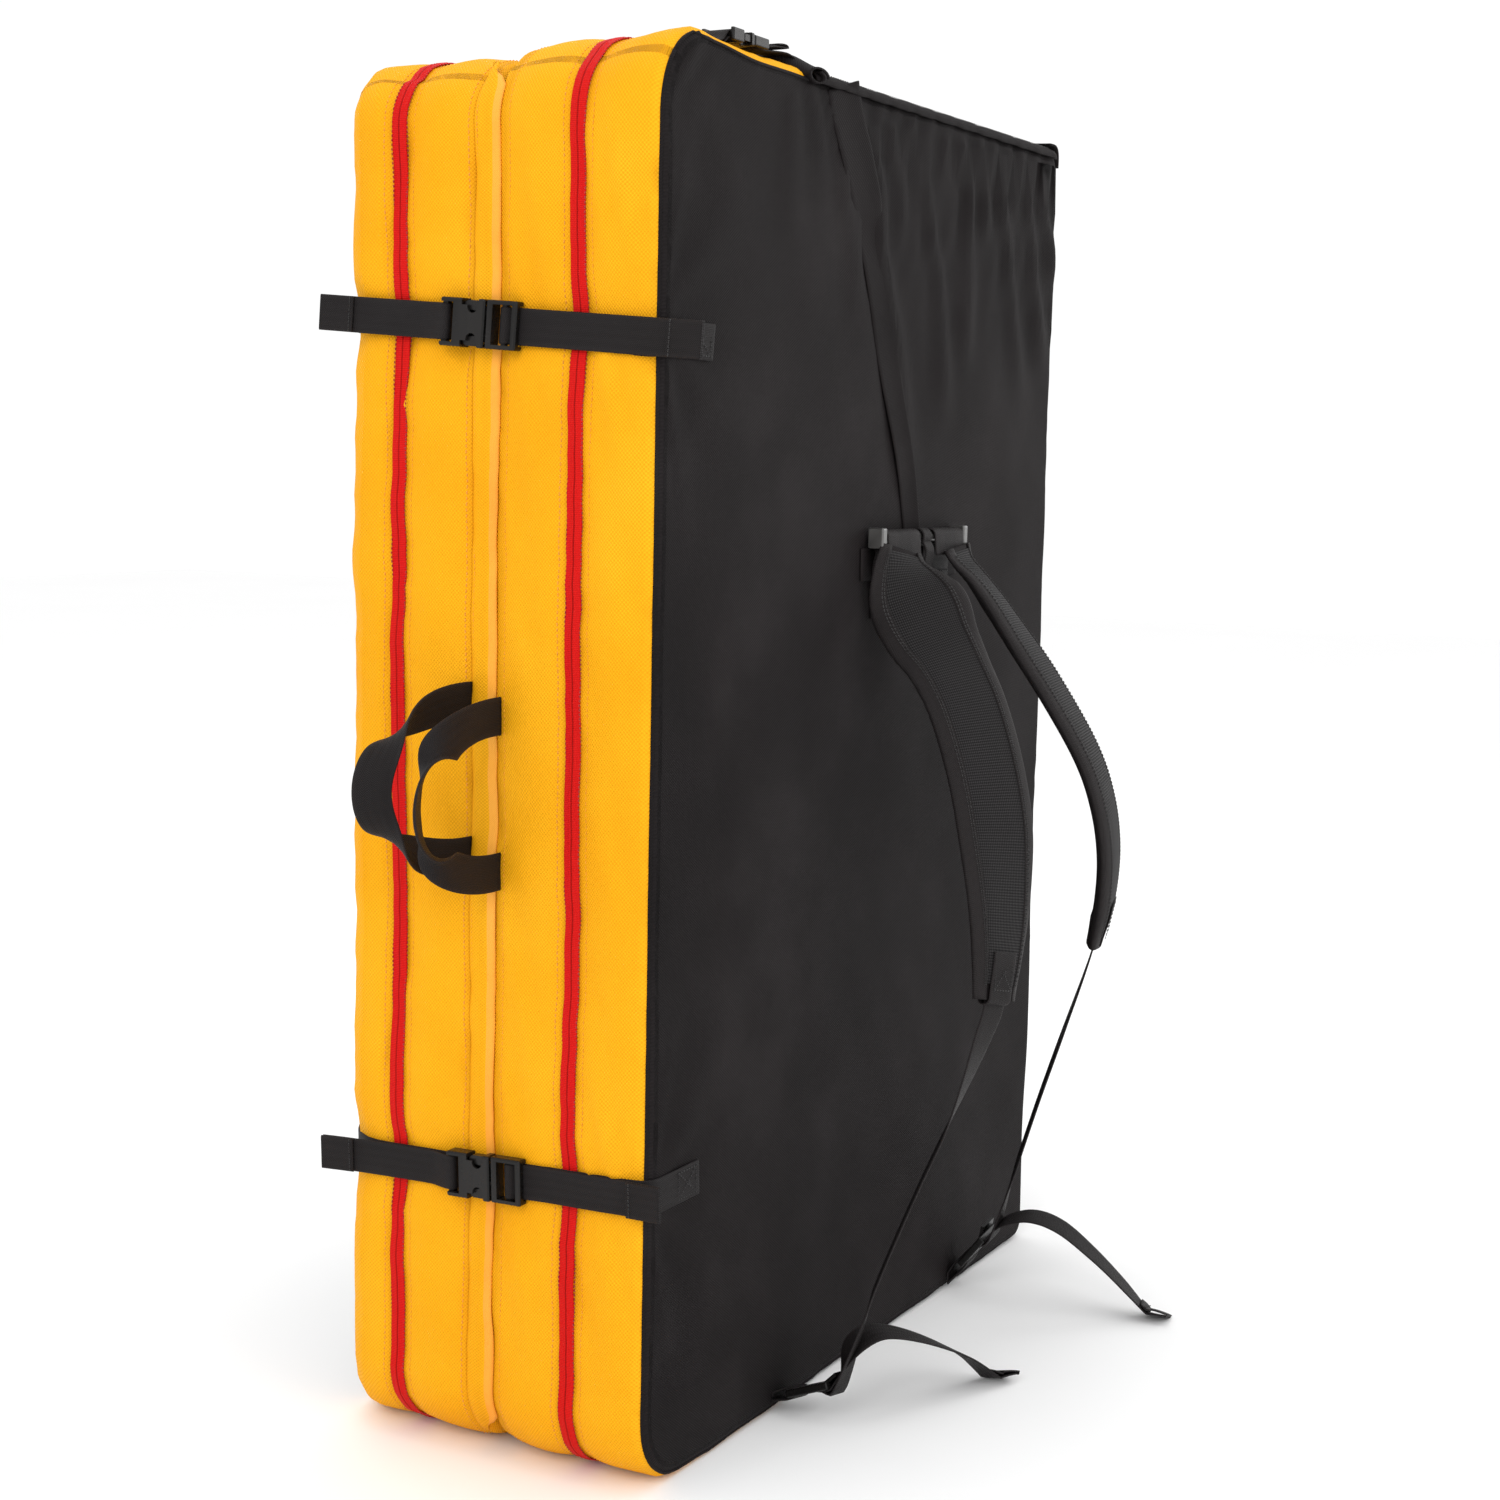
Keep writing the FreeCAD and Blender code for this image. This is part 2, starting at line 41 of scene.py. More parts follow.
# ---- camera ---------------------------------------------------------------------------------
cam_data = bpy.data.cameras.new("camera")
cam_data.sensor_width = 36.0
cam_data.lens = 56.25
cam = bpy.data.objects.new("camera", cam_data)
bpy.context.scene.collection.objects.link(cam)
yaw, pitch, roll = (math.radians(a) for a in (60.731, -7.0545, 1.174))
forward = Vector((math.sin(yaw) * math.cos(pitch), math.cos(yaw) * math.cos(pitch), math.sin(pitch)))
level = Vector((math.cos(yaw), -math.sin(yaw), 0.0))
upright = level.cross(forward)
cam_x = level * math.cos(roll) + upright * math.sin(roll)
cam_y = upright * math.cos(roll) - level * math.sin(roll)
turned = Matrix((cam_x, cam_y, -forward)).transposed()
cam.matrix_world = Matrix.Translation((-1.6635, -0.8821, 0.7211)) @ turned.to_4x4()
bpy.context.scene.camera = cam
bpy.context.scene.view_settings.view_transform = "Standard"

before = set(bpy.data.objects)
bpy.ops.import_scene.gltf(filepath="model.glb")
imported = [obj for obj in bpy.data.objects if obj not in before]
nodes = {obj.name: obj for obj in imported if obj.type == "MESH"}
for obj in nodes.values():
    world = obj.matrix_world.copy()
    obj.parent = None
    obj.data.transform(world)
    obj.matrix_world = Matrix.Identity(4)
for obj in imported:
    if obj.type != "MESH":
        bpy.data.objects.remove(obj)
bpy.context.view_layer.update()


# ---- driving dimensions, as in the CAD source ------------------------------------------------
HEIGHT = 1000.0
OPEN_X, SPINE_X, FOLD_Y = -340.0, 337.0, 70.0
THICK = 135.0
CARRY_Y, PLAIN_Y = -68.0, 208.0
OPEN_R, SPINE_R = 55.0, 18.0
COLOUR_X = -130.0
ZIP_LOW, ZIP_MID, ZIP_HIGH = 58.0, 64.0, 70.0
WEB = 25.0
UPPER_Z, LOWER_Z = 809.0, 213.0          # heights of the closure straps
LAND_SEAM, LAND_R = 126.0, 9.0           # depth and radius of the landing face's edge


# ---- small tools ----------------------------------------------------------------------------

def arr(*v):
    return np.array(v, float)


def unit(v):
    v = np.asarray(v, float)
    return v / np.maximum(np.linalg.norm(v, axis=-1, keepdims=True), 1e-12)


def smooth(lo, hi, x):
    t = np.clip((np.asarray(x, float) - lo) / (hi - lo), 0.0, 1.0)
    return t * t * (3.0 - 2.0 * t)


def bump(x, mid, half):
    # 1 at mid, 0 beyond half on either side.
    return 1.0 - smooth(0.0, half, np.abs(np.asarray(x, float) - mid))


def run_length(p):
    # Distance along a line to each of its points.
    return np.concatenate([[0], np.cumsum(np.linalg.norm(np.diff(p, axis=0), axis=1))])


def interp_rows(at, run, rows):
    # Rows of values, known at the distances in run, read off at others.
    return np.stack([np.interp(at, run, column) for column in np.asarray(rows, float).T], 1)


def blurred(values, kernel):
    # A running weighted mean, with the end values held.
    return np.convolve(np.pad(values, len(kernel) // 2, "edge"), kernel / kernel.sum(), "valid")


def grid_faces(rows, cols, flip=False):
    # Quads between neighbouring points of a grid, row by row.
    quads = [(i * cols + j, i * cols + j + 1, (i + 1) * cols + j + 1, (i + 1) * cols + j)
             for i in range(rows - 1) for j in range(cols - 1)]
    return [(a, d, c, b) for a, b, c, d in quads] if flip else quads


def tube_faces(rings, cols):
    # Quads round a stack of rings, and a cap at each end.
    faces = [(i * cols + j, i * cols + (j + 1) % cols, (i + 1) * cols + (j + 1) % cols, (i + 1) * cols + j)
             for i in range(rings - 1) for j in range(cols)]
    return faces + [tuple(range(cols - 1, -1, -1)), tuple((rings - 1) * cols + j for j in range(cols))]


def waves(points, length, seed, count=14):
    # A smooth random field over points, about -1 to 1, with features of that length.
    rng = np.random.RandomState(seed)
    p = np.asarray(points, float)
    total = np.zeros(len(p))
    for _ in range(count):
        direction = rng.normal(size=p.shape[1])
        direction /= np.linalg.norm(direction)
        total += np.sin(p @ direction * TAU / length / rng.uniform(0.7, 1.5) + rng.uniform(0, TAU))
    return total / math.sqrt(count) * 0.8


def make(name, verts, faces, material, uv=None, slots=None):
    # A smooth mesh. verts in mm, uv per vertex in mm.
    mesh = bpy.data.meshes.new(name)
    mesh.from_pydata([tuple(v) for v in np.asarray(verts, float) * MM], [], [tuple(f) for f in faces])
    for m in material if isinstance(material, list) else [material]:
        mesh.materials.append(m)
    if slots is not None:
        mesh.polygons.foreach_set("material_index", np.asarray(slots, np.int32))
    mesh.polygons.foreach_set("use_smooth", np.ones(len(mesh.polygons), bool))
    if uv is not None:
        layer = mesh.uv_layers.new(name="UVMap")
        loops = np.zeros(len(mesh.loops), np.int32)
        mesh.loops.foreach_get("vertex_index", loops)
        layer.data.foreach_set("uv", (np.asarray(uv, float)[loops] * MM).astype(np.float32).ravel())
    mesh.update()
    obj = bpy.data.objects.new(name, mesh)
    bpy.context.scene.collection.objects.link(obj)
    return obj


def modifier(obj, kind, **values):
    m = obj.modifiers.new(kind.lower(), kind)
    for key, value in values.items():
        setattr(m, key, value)
    return m


def place(obj, body, slot, *replaced):
    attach(obj, body)
    if replaced:
        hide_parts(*replaced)
    return obj


def settle(obj):
    # Applies the modifiers, so that the mesh is final.
    with bpy.context.temp_override(object=obj, active_object=obj, selected_objects=[obj]):
        for name in [m.name for m in obj.modifiers]:
            bpy.ops.object.modifier_apply(modifier=name)


def place_across(obj, slot, body_a, body_b, start, end, *replaced):
    # Applies the modifiers, hides the parts it replaces and bakes the transform into the mesh. body_a, body_b,
    # start and end are not used.
    settle(obj)
    if replaced:
        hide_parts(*replaced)
    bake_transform(obj)


def curve_points(points, step=3.0):
    # Catmull-Rom through the points, resampled evenly.
    p = np.asarray(points, float)
    ext = np.vstack([2 * p[0] - p[1], p, 2 * p[-1] - p[-2]])
    out = []
    for i in range(1, len(ext) - 2):
        a, b, c, d = ext[i - 1], ext[i], ext[i + 1], ext[i + 2]
        for t in np.linspace(0, 1, 24, endpoint=False):
            out.append(0.5 * (2 * b + (c - a) * t + (2 * a - 5 * b + 4 * c - d) * t * t
                              + (3 * b - a - 3 * c + d) * t ** 3))
    out.append(p[-1])
    return resample(np.array(out), step)


def resample(p, step):
    run = run_length(p)
    n = max(2, int(round(run[-1] / step)) + 1)
    return interp_rows(np.linspace(0, run[-1], n), run, p)


def soften(p, times=2):
    # Chaikin corner cutting that keeps both ends.
    p = np.asarray(p, float)
    for _ in range(times):
        a, b = p[:-1], p[1:]
        inner = np.empty((2 * len(a), p.shape[1]))
        inner[0::2] = 0.75 * a + 0.25 * b
        inner[1::2] = 0.25 * a + 0.75 * b
        p = np.vstack([p[0], inner[1:-1], p[-1]])
    return p


def soft_path(points, times, step):
    return resample(soften(points, times), step)


def tangents(p):
    return unit(np.gradient(p, axis=0))


def webbing_section(width, thick):
    # Flat woven band: slightly thinner at the selvedges, softly rounded.
    w, t = width / 2, thick / 2
    half = [(-w, 0.0), (-w + 0.25 * t, 0.62 * t), (-w + 1.2, 0.95 * t), (-w * 0.5, t), (0, t * 0.97),
            (w * 0.5, t), (w - 1.2, 0.95 * t), (w - 0.25 * t, 0.62 * t)]
    return np.array(half + [(w, 0.0)] + [(x, -y) for x, y in half[:0:-1]])


def sweep(name, path, across, section, material, normal=None, scale=None):
    # A closed section carried along a path. across is the section's first axis at each point.
    p = np.asarray(path, float)
    side = np.broadcast_to(np.asarray(across, float), p.shape)
    along = tangents(p)
    up = unit(np.cross(along, side)) if normal is None else np.broadcast_to(normal, p.shape)
    side = unit(np.cross(up, along)) if normal is None else side
    n, m = len(p), len(section)
    grow = np.ones(n) if scale is None else np.asarray(scale, float)
    sx, sy = section[:, 0], section[:, 1]
    verts = (p[:, None] + side[:, None] * (sx[None, :, None] * grow[:, None, None])
             + up[:, None] * sy[None, :, None]).reshape(-1, 3)
    uv = np.stack([np.tile(sx, n), np.repeat(run_length(p), m)], 1)
    return make(name, verts, tube_faces(n, m), material, uv)


def join(name, objs):
    # Several meshes as one piece, keeping their materials.
    target = objs[0]
    with bpy.context.temp_override(active_object=target, selected_editable_objects=objs, object=target,
                                   selected_objects=objs):
        bpy.ops.object.join()
    target.name = name
    target.data.name = name
    return target


# Sizes of stitches: pitch, length, width and height.
BAND_STITCH, ZIP_STITCH, HINGE_STITCH = (4.0, 2.9, 0.8, 0.4), (3.1, 2.3, 1.0, 0.45), (4.2, 3.0, 0.9, 0.45)
BOX_STITCH, HEM_STITCH = (3.4, 2.5, 0.8, 0.4), (2.6, 2.0, 0.9, 0.5)
WRAP_STITCH, FLAP_STITCH = (3.4, 2.6, 0.9, 0.5), (3.8, 2.8, 0.7, 0.35)


def stitches(name, path, normal, material, pitch, length, wide, high):
    # A row of thread stitches: small rounded lozenges lying on a surface along a path.
    p = resample(np.asarray(path, float), pitch)
    nrm = unit(np.broadcast_to(np.asarray(normal, float), path.shape))
    src = run_length(path)
    nrm = unit(interp_rows(np.linspace(0, src[-1], len(p)), src, nrm))
    along = tangents(p)
    side = unit(np.cross(nrm, along))
    shape = [(-0.5, 0, -0.6), (-0.28, 0.5, -0.2), (0.28, 0.5, -0.2), (0.5, 0, -0.6), (0.28, -0.5, -0.2),
             (-0.28, -0.5, -0.2), (-0.22, 0, 1.0), (0.22, 0, 1.0)]
    tris = [(0, 6, 1), (1, 6, 7, 2), (2, 7, 3), (3, 7, 4), (4, 7, 6, 5), (5, 6, 0), (0, 1, 2, 3, 4, 5)]
    verts, faces = [], []
    for i in range(len(p)):
        base = len(verts)
        for a, b, c in shape:
            verts.append(p[i] + along[i] * a * length + side[i] * b * wide + nrm[i] * c * high)
        faces += [tuple(base + k for k in f) for f in tris]
    return make(name, verts, faces, material)


# ---- materials ------------------------------------------------------------------------------

def shader(name, rough, sheen=0.0, spec=0.5, coat=0.0):
    mat = bpy.data.materials.new(name)
    mat.use_nodes = True
    s = mat.node_tree.nodes["Principled BSDF"]
    for key, value in (("Roughness", rough), ("Specular IOR Level", spec), ("Sheen Weight", sheen),
                       ("Sheen Roughness", 0.5), ("Coat Weight", coat)):
        s.inputs[key].default_value = value
    return mat, mat.node_tree


def node(tree, kind, inputs=(), **values):
    n = tree.nodes.new(kind)
    for key, value in values.items():
        setattr(n, key, value)
    for key, value in dict(inputs).items():
        if isinstance(value, bpy.types.NodeSocket):
            tree.links.new(value, n.inputs[key])
        else:
            n.inputs[key].default_value = value
    return n


def calc(tree, op, a, b=0.0):
    return node(tree, "ShaderNodeMath", {0: a, 1: b}, operation=op).outputs[0]


def mult(tree, a, b):
    return calc(tree, "MULTIPLY", a, b)


def raised(tree, wave, share=0.5):
    # Scales a wave by share and lifts it, so that its top stays at 1.
    return calc(tree, "ADD", mult(tree, wave, share), 1.0 - share)


def rising(tree, value, start, end):
    # 0 where value is at start, 1 at end.
    return node(tree, "ShaderNodeMapRange", {0: value, 1: start, 2: end}).outputs[0]


def scaled(colour, factor):
    return tuple(min(1.0, c * factor) for c in colour)


def uv_split(tree):
    uv = node(tree, "ShaderNodeUVMap", uv_map="UVMap")
    sep = node(tree, "ShaderNodeSeparateXYZ", {0: uv.outputs[0]})
    return sep.outputs[0], sep.outputs[1]


def thread(tree, value, pitch):
    # A sine along one direction with the pitch in mm, -1 to 1.
    return calc(tree, "SINE", mult(tree, value, TAU / (pitch * MM)))


def plain_weave(tree, u, v, pitch_u, pitch_v):
    # Over-and-under squares: 0 in the gaps, 1 on top of a thread.
    return raised(tree, mult(tree, thread(tree, u, pitch_u), thread(tree, v, pitch_v)))


def twill(tree, u, v, pitch):
    # Diagonal ribs, broken by the threads that cross them.
    both = calc(tree, "ADD", u, mult(tree, v, 1.3))
    ribs = raised(tree, thread(tree, both, pitch))
    return mult(tree, ribs, raised(tree, thread(tree, u, pitch * 0.55), 0.2))


def position_noise(tree, scale, detail=4.0, rough=0.55):
    at = node(tree, "ShaderNodeTexCoord").outputs["Object"]
    return node(tree, "ShaderNodeTexNoise", {"Vector": at, "Scale": scale, "Detail": detail,
                                             "Roughness": rough}).outputs[0]


def ramp(tree, value, stops):
    n = tree.nodes.new("ShaderNodeValToRGB")
    tree.links.new(value, n.inputs[0])
    line = n.color_ramp.elements
    line[0].position, line[0].color = stops[0][0], (*stops[0][1], 1)
    line[1].position, line[1].color = stops[-1][0], (*stops[-1][1], 1)
    for at, colour in stops[1:-1]:
        line.new(at).color = (*colour, 1)
    return n.outputs[0]


def blend_colour(tree, amount, a, b):
    n = node(tree, "ShaderNodeMix", data_type="RGBA", blend_type="MIX")
    for key, value in ((0, amount), (6, a), (7, b)):
        if isinstance(value, bpy.types.NodeSocket):
            tree.links.new(value, n.inputs[key])
        else:
            n.inputs[key].default_value = value if key == 0 else (*value, 1)
    return n.outputs[2]


def dress(mat, base, weave, rough, *layers):
    # Colour, a roughness range that follows the weave, and bumps stacked on each other:
    # (height, distance in mm, strength).
    tree = mat.node_tree
    s = tree.nodes["Principled BSDF"]
    tree.links.new(base, s.inputs["Base Color"])
    spread = node(tree, "ShaderNodeMapRange", {0: weave, 3: rough[0], 4: rough[1]})
    tree.links.new(spread.outputs[0], s.inputs["Roughness"])
    last = None
    for height, distance, strength in layers:
        n = node(tree, "ShaderNodeBump", {"Height": height, "Distance": distance * MM, "Strength": strength})
        if last is not None:
            tree.links.new(last, n.inputs["Normal"])
        last = n.outputs[0]
    tree.links.new(last, s.inputs["Normal"])
    return mat


def woven(name, dark, mid, light, pitch, rough, kind="plain", sheen=0.0, depth=0.35, spec=0.4, contrast=0.42):
    # Cover fabric: weave in colour, bump and roughness, slow colour variation, painted shade from a vertex
    # attribute, and patches made paler by a second attribute.
    mat, tree = shader(name, rough, sheen, spec)
    u, v = uv_split(tree)
    cloth = plain_weave(tree, u, v, *pitch) if kind == "plain" else twill(tree, u, v, pitch[0])
    slow = position_noise(tree, 9.0, 5.0)
    fine = position_noise(tree, 260.0, 2.0)
    pale_rim, shade = (node(tree, "ShaderNodeAttribute", attribute_name=mark).outputs["Fac"]
                   for mark in ("pale_rim", "shade"))
    base = ramp(tree, slow, [(0.3, dark), (0.52, mid), (0.75, light)])
    gaps = calc(tree, "SUBTRACT", 1.0, cloth)
    base = blend_colour(tree, mult(tree, gaps, contrast), base, scaled(dark, 0.7))
    base = blend_colour(tree, mult(tree, fine, 0.18), base, light)
    # Painted shade: darker where the shade attribute marks hollows, seam grooves and folds.
    base = blend_colour(tree, shade, base, scaled(dark, 0.55))
    # Paler in noisy patches where the second attribute is set, on the ring round the ground edge.
    base = blend_colour(tree, mult(tree, pale_rim, fine), base, light)
    return dress(mat, base, cloth, (rough + 0.12, rough - 0.08), (slow, 2.0, 0.15), (cloth, depth, 0.8),
                 (fine, 0.12, 0.5))


def band_weave(name, colour, light, rough=0.5):
    # Narrow woven webbing: ribs across, a fine herringbone, fuzzy lighter selvedges.
    mat, tree = shader(name, rough, 0.0, 0.12)
    u, v = uv_split(tree)
    slant = calc(tree, "ADD", v, calc(tree, "PINGPONG", u, 3.0 * MM))
    rib = raised(tree, thread(tree, slant, 1.5))
    cross = raised(tree, thread(tree, u, 1.1))
    cloth = mult(tree, rib, raised(tree, cross))
    edge = rising(tree, calc(tree, "ABSOLUTE", u), 9.5 * MM, 12.5 * MM)
    fine = position_noise(tree, 420.0, 2.0)
    slow = position_noise(tree, 30.0, 3.0)
    base = ramp(tree, cloth, [(0.0, scaled(colour, 0.35)), (0.45, colour), (1.0, light)])
    base = blend_colour(tree, mult(tree, slow, 0.4), base, light)
    base = blend_colour(tree, mult(tree, edge, mult(tree, fine, 0.7)), base, light)
    return dress(mat, base, cloth, (rough + 0.15, rough - 0.08), (cloth, 0.35, 0.9), (fine, 0.15, 0.4))


def moulded(name, colour, rough, spec=0.5, coat=0.15):
    # Moulded plastic: fine spark texture, a painted highlight along convex edges, faint handling marks.
    mat, tree = shader(name, rough, 0.0, spec, coat)
    grain = position_noise(tree, 1800.0, 2.0)
    marks = position_noise(tree, 60.0, 6.0, 0.7)
    # Painted highlight: convex edges, found by pointiness, are blended towards a much paler colour.
    edge_highlight = rising(tree, node(tree, "ShaderNodeNewGeometry").outputs["Pointiness"], 0.52, 0.62)
    base = blend_colour(tree, mult(tree, marks, 0.5), colour, scaled(colour, 2.2))
    base = blend_colour(tree, mult(tree, edge_highlight, 0.35), base, scaled(colour, 6.0))
    return dress(mat, base, marks, (rough - 0.08, rough + 0.12), (grain, 0.05, 0.5), (marks, 0.2, 0.08))


def zip_tape(name):
    # Knitted tape: fine cross ribs, and a line of painted shade down the middle, in the crevice where the tapes
    # meet over the hidden coil.
    mat, tree = shader(name, 0.6, 0.0, 0.1)
    u, v = uv_split(tree)
    rib = raised(tree, thread(tree, v, 1.25))
    cross = raised(tree, thread(tree, u, 0.9))
    cloth = mult(tree, rib, cross)
    fine = position_noise(tree, 300.0, 2.0)
    base = ramp(tree, cloth, [(0.0, (0.45, 0.002, 0.002)), (0.4, (0.70, 0.007, 0.005)),
                              (1.0, (0.82, 0.012, 0.008))])
    # Painted shade: dark red along the crevice between the two tapes.
    crevice_shade = rising(tree, calc(tree, "ABSOLUTE", u), 0.6 * MM, 0.2 * MM)
    base = blend_colour(tree, mult(tree, crevice_shade, 0.75), base, (0.13, 0.0, 0.0))
    base = blend_colour(tree, mult(tree, fine, 0.15), base, (0.8, 0.02, 0.012))
    return dress(mat, base, cloth, (0.6, 0.42), (cloth, 0.3, 0.9), (fine, 0.1, 0.4))


def foam(name, dark, light, cell):
    # Cut foam, with open cells of the given size in mm.
    mat, tree = shader(name, 0.9, 0.0, 0.2)
    at = node(tree, "ShaderNodeTexCoord").outputs["Object"]
    cells = node(tree, "ShaderNodeTexVoronoi", {"Vector": at, "Scale": 1000.0 / cell}).outputs[0]
    slow = position_noise(tree, 14.0)
    base = ramp(tree, cells, [(0.0, dark), (0.6, light)])
    base = blend_colour(tree, mult(tree, slow, 0.3), base, dark)
    return dress(mat, base, cells, (0.95, 0.8), (cells, 0.6, 0.7), (slow, 1.0, 0.2))


def air_mesh(name):
    # Spacer mesh: offset rows of small holes over a darker layer.
    mat, tree = shader(name, 0.62, 0.0, 0.12)
    u, v = uv_split(tree)
    a = thread(tree, calc(tree, "ADD", u, mult(tree, v, 0.8)), 3.4)
    b = thread(tree, calc(tree, "SUBTRACT", u, mult(tree, v, 0.8)), 3.4)
    hole = raised(tree, mult(tree, a, b))
    fine = position_noise(tree, 380.0, 2.0)
    slow = position_noise(tree, 20.0, 3.0)
    base = ramp(tree, hole, [(0.12, (0.003, 0.003, 0.003)), (0.5, (0.014, 0.013, 0.0134)),
                             (1.0, (0.040, 0.0372, 0.038))])
    base = blend_colour(tree, mult(tree, slow, 0.3), base, (0.025, 0.0232, 0.0238))
    return dress(mat, base, hole, (0.8, 0.5), (hole, 0.7, 1.0), (fine, 0.1, 0.4))


def yarn(name, colour, light):
    mat, tree = shader(name, 0.6, 0.2, 0.3)
    twist = position_noise(tree, 900.0, 2.0)
    return dress(mat, blend_colour(tree, twist, colour, light), twist, (0.5, 0.75), (twist, 0.1, 0.6))


YELLOW = woven("yellow_fabric", (0.88, 0.365, 0.004), (0.94, 0.425, 0.007), (0.98, 0.475, 0.013), (2.9, 2.4),
               0.66, depth=0.5, spec=0.08, contrast=0.75)
BINDING = woven("yellow_facing", (0.86, 0.30, 0.02), (0.98, 0.40, 0.03), (1.0, 0.46, 0.06), (1.6, 1.6), 0.58,
                depth=0.2, spec=0.3)
BLACK = woven("black_fabric", (0.0085, 0.0070, 0.0072), (0.0130, 0.0108, 0.0111), (0.023, 0.0196, 0.0202),
              (2.6, 2.6), 0.60, kind="twill", depth=0.3, spec=0.05)
LANDING = woven("landing_fabric", (0.010, 0.010, 0.011), (0.016, 0.016, 0.018), (0.030, 0.030, 0.033),
                (2.2, 2.2), 0.6, sheen=0.04, spec=0.2)
WEBBING = band_weave("webbing", (0.0098, 0.0082, 0.0084), (0.024, 0.0205, 0.0208))
PLASTIC = moulded("buckle_plastic", (0.0042, 0.0038, 0.0036), 0.24, 0.22, 0.02)
METAL = moulded("zip_metal", (0.028, 0.027, 0.026), 0.30, 0.8)
ZIP = zip_tape("red_zip")
MESH = air_mesh("strap_mesh")
OPEN_FOAM = foam("open_cell_foam", (0.60, 0.57, 0.48), (0.86, 0.84, 0.76), 2.2)
CLOSED_FOAM = foam("closed_cell_foam", (0.07, 0.07, 0.075), (0.15, 0.15, 0.16), 0.9)
YELLOW_YARN = yarn("yellow_thread", (0.66, 0.24, 0.005), (0.95, 0.42, 0.02))
RED_YARN = yarn("red_thread", (0.22, 0.004, 0.004), (0.45, 0.012, 0.01))
BLACK_YARN = yarn("black_thread", (0.006, 0.006, 0.006), (0.022, 0.0205, 0.0208))


# ---- the padded halves -----------------------------------------------------------------------
ARC, TOP_N, SIDE_N = 6, 78, 112          # cells in half a corner arc, along the top, up the side
GROUND_ARC = [0, 22, 50, 72, 90]         # degrees round the ground edge


def side_line(x0, z0, x1, z1, count):
    t = np.linspace(0, 1, count + 1)
    return np.stack([x0 + (x1 - x0) * t, z0 + (z1 - z0) * t], 1)


def arc_line(cx, cz, r, deg0, deg1):
    a = np.radians(np.linspace(deg0, deg1, ARC + 1))
    return np.stack([cx + r * np.cos(a), cz + r * np.sin(a)], 1)


def outline():
    # Points and outward normals round a half, from the middle of the top opening corner,
    # along the top, down the spine side, along the bottom, and up the opening side.
    xo, xs = OPEN_X + OPEN_R, SPINE_X - SPINE_R
    top = [arc_line(xo, HEIGHT - OPEN_R, OPEN_R, 135, 90), side_line(xo, HEIGHT, xs, HEIGHT, TOP_N),
           arc_line(xs, HEIGHT - SPINE_R, SPINE_R, 90, 45)]
    spine = [arc_line(xs, HEIGHT - SPINE_R, SPINE_R, 45, 0),
             side_line(SPINE_X, HEIGHT - OPEN_R, SPINE_X, OPEN_R, SIDE_N),
             arc_line(xs, SPINE_R, SPINE_R, 0, -45)]
    bottom = [arc_line(xs, SPINE_R, SPINE_R, -45, -90), side_line(xs, 0, xo, 0, TOP_N),
              arc_line(xo, OPEN_R, OPEN_R, 270, 225)]
    opening = [arc_line(xo, OPEN_R, OPEN_R, 225, 180),
               side_line(OPEN_X, OPEN_R, OPEN_X, HEIGHT - OPEN_R, SIDE_N),
               arc_line(xo, HEIGHT - OPEN_R, OPEN_R, 180, 135)]
    pts = np.vstack([part[:-1] for side in (top, spine, bottom, opening) for part in side])
    ahead, behind = np.roll(pts, -1, 0), np.roll(pts, 1, 0)
    along = unit(ahead - behind)
    return pts, np.stack([-along[:, 1], along[:, 0]], 1)


RING, RING_N = outline()
COLS = len(RING)
TOP_CELLS, SIDE_CELLS = 2 * ARC + TOP_N, 2 * ARC + SIDE_N
RING_S = run_length(RING)


def coons(ring):
    # A grid filling a ring of points laid out as top, spine, bottom, opening.
    nt, ns = TOP_CELLS, SIDE_CELLS
    top = ring[:nt + 1]
    right = ring[nt:nt + ns + 1]
    bottom = ring[nt + ns:2 * nt + ns + 1][::-1]
    left = np.vstack([ring[2 * nt + ns:], ring[:1]])[::-1]
    s, t = run_length(top), run_length(left)
    s, t = (s / s[-1])[:, None, None], (t / t[-1])[None, :, None]
    grid = (1 - t) * top[:, None] + t * bottom[:, None] + (1 - s) * left[None] + s * right[None]
    grid -= (1 - s) * (1 - t) * top[0] + s * (1 - t) * top[-1] + (1 - s) * t * bottom[0] + s * t * bottom[-1]
    return grid


def ring_index():
    # Grid place (i, j) of each ring column.
    nt, ns = TOP_CELLS, SIDE_CELLS
    return ([(i, 0) for i in range(nt)] + [(nt, j) for j in range(ns)] + [(nt - i, ns) for i in range(nt)]
            + [(0, ns - j) for j in range(ns)])


RING_IJ = ring_index()


def strap_mask(z):
    # 0 where a closure strap holds the band down, 1 away from them.
    return 1.0 - np.maximum(bump(z, UPPER_Z, 42.0), bump(z, LOWER_Z, 42.0))


# Creases of the band, as (distance from the ground face, height, run along z, width, depth).
CREASES = [(18, 880, 70, 5, -1.6), (40, 905, 90, 6, -1.3), (28, 765, 60, 5, -1.4), (44, 740, 70, 7, -1.2),
           (20, 640, 80, 8, -0.9), (46, 560, 60, 6, -0.8), (22, 452, 90, 8, -1.0), (36, 330, 80, 7, -0.9),
           (24, 262, 50, 5, -1.6), (42, 250, 60, 6, -1.2), (20, 165, 60, 5, -1.5), (46, 120, 70, 7, -1.0),
           (84, 900, 90, 7, -1.2), (104, 850, 80, 6, -1.5), (92, 750, 60, 6, -1.3), (110, 690, 70, 6, -1.1),
           (96, 600, 70, 8, -1.0), (108, 400, 80, 7, -1.2), (88, 330, 70, 7, -0.9), (104, 270, 50, 5, -1.5),
           (92, 160, 60, 6, -1.3), (112, 110, 70, 7, -1.1)]

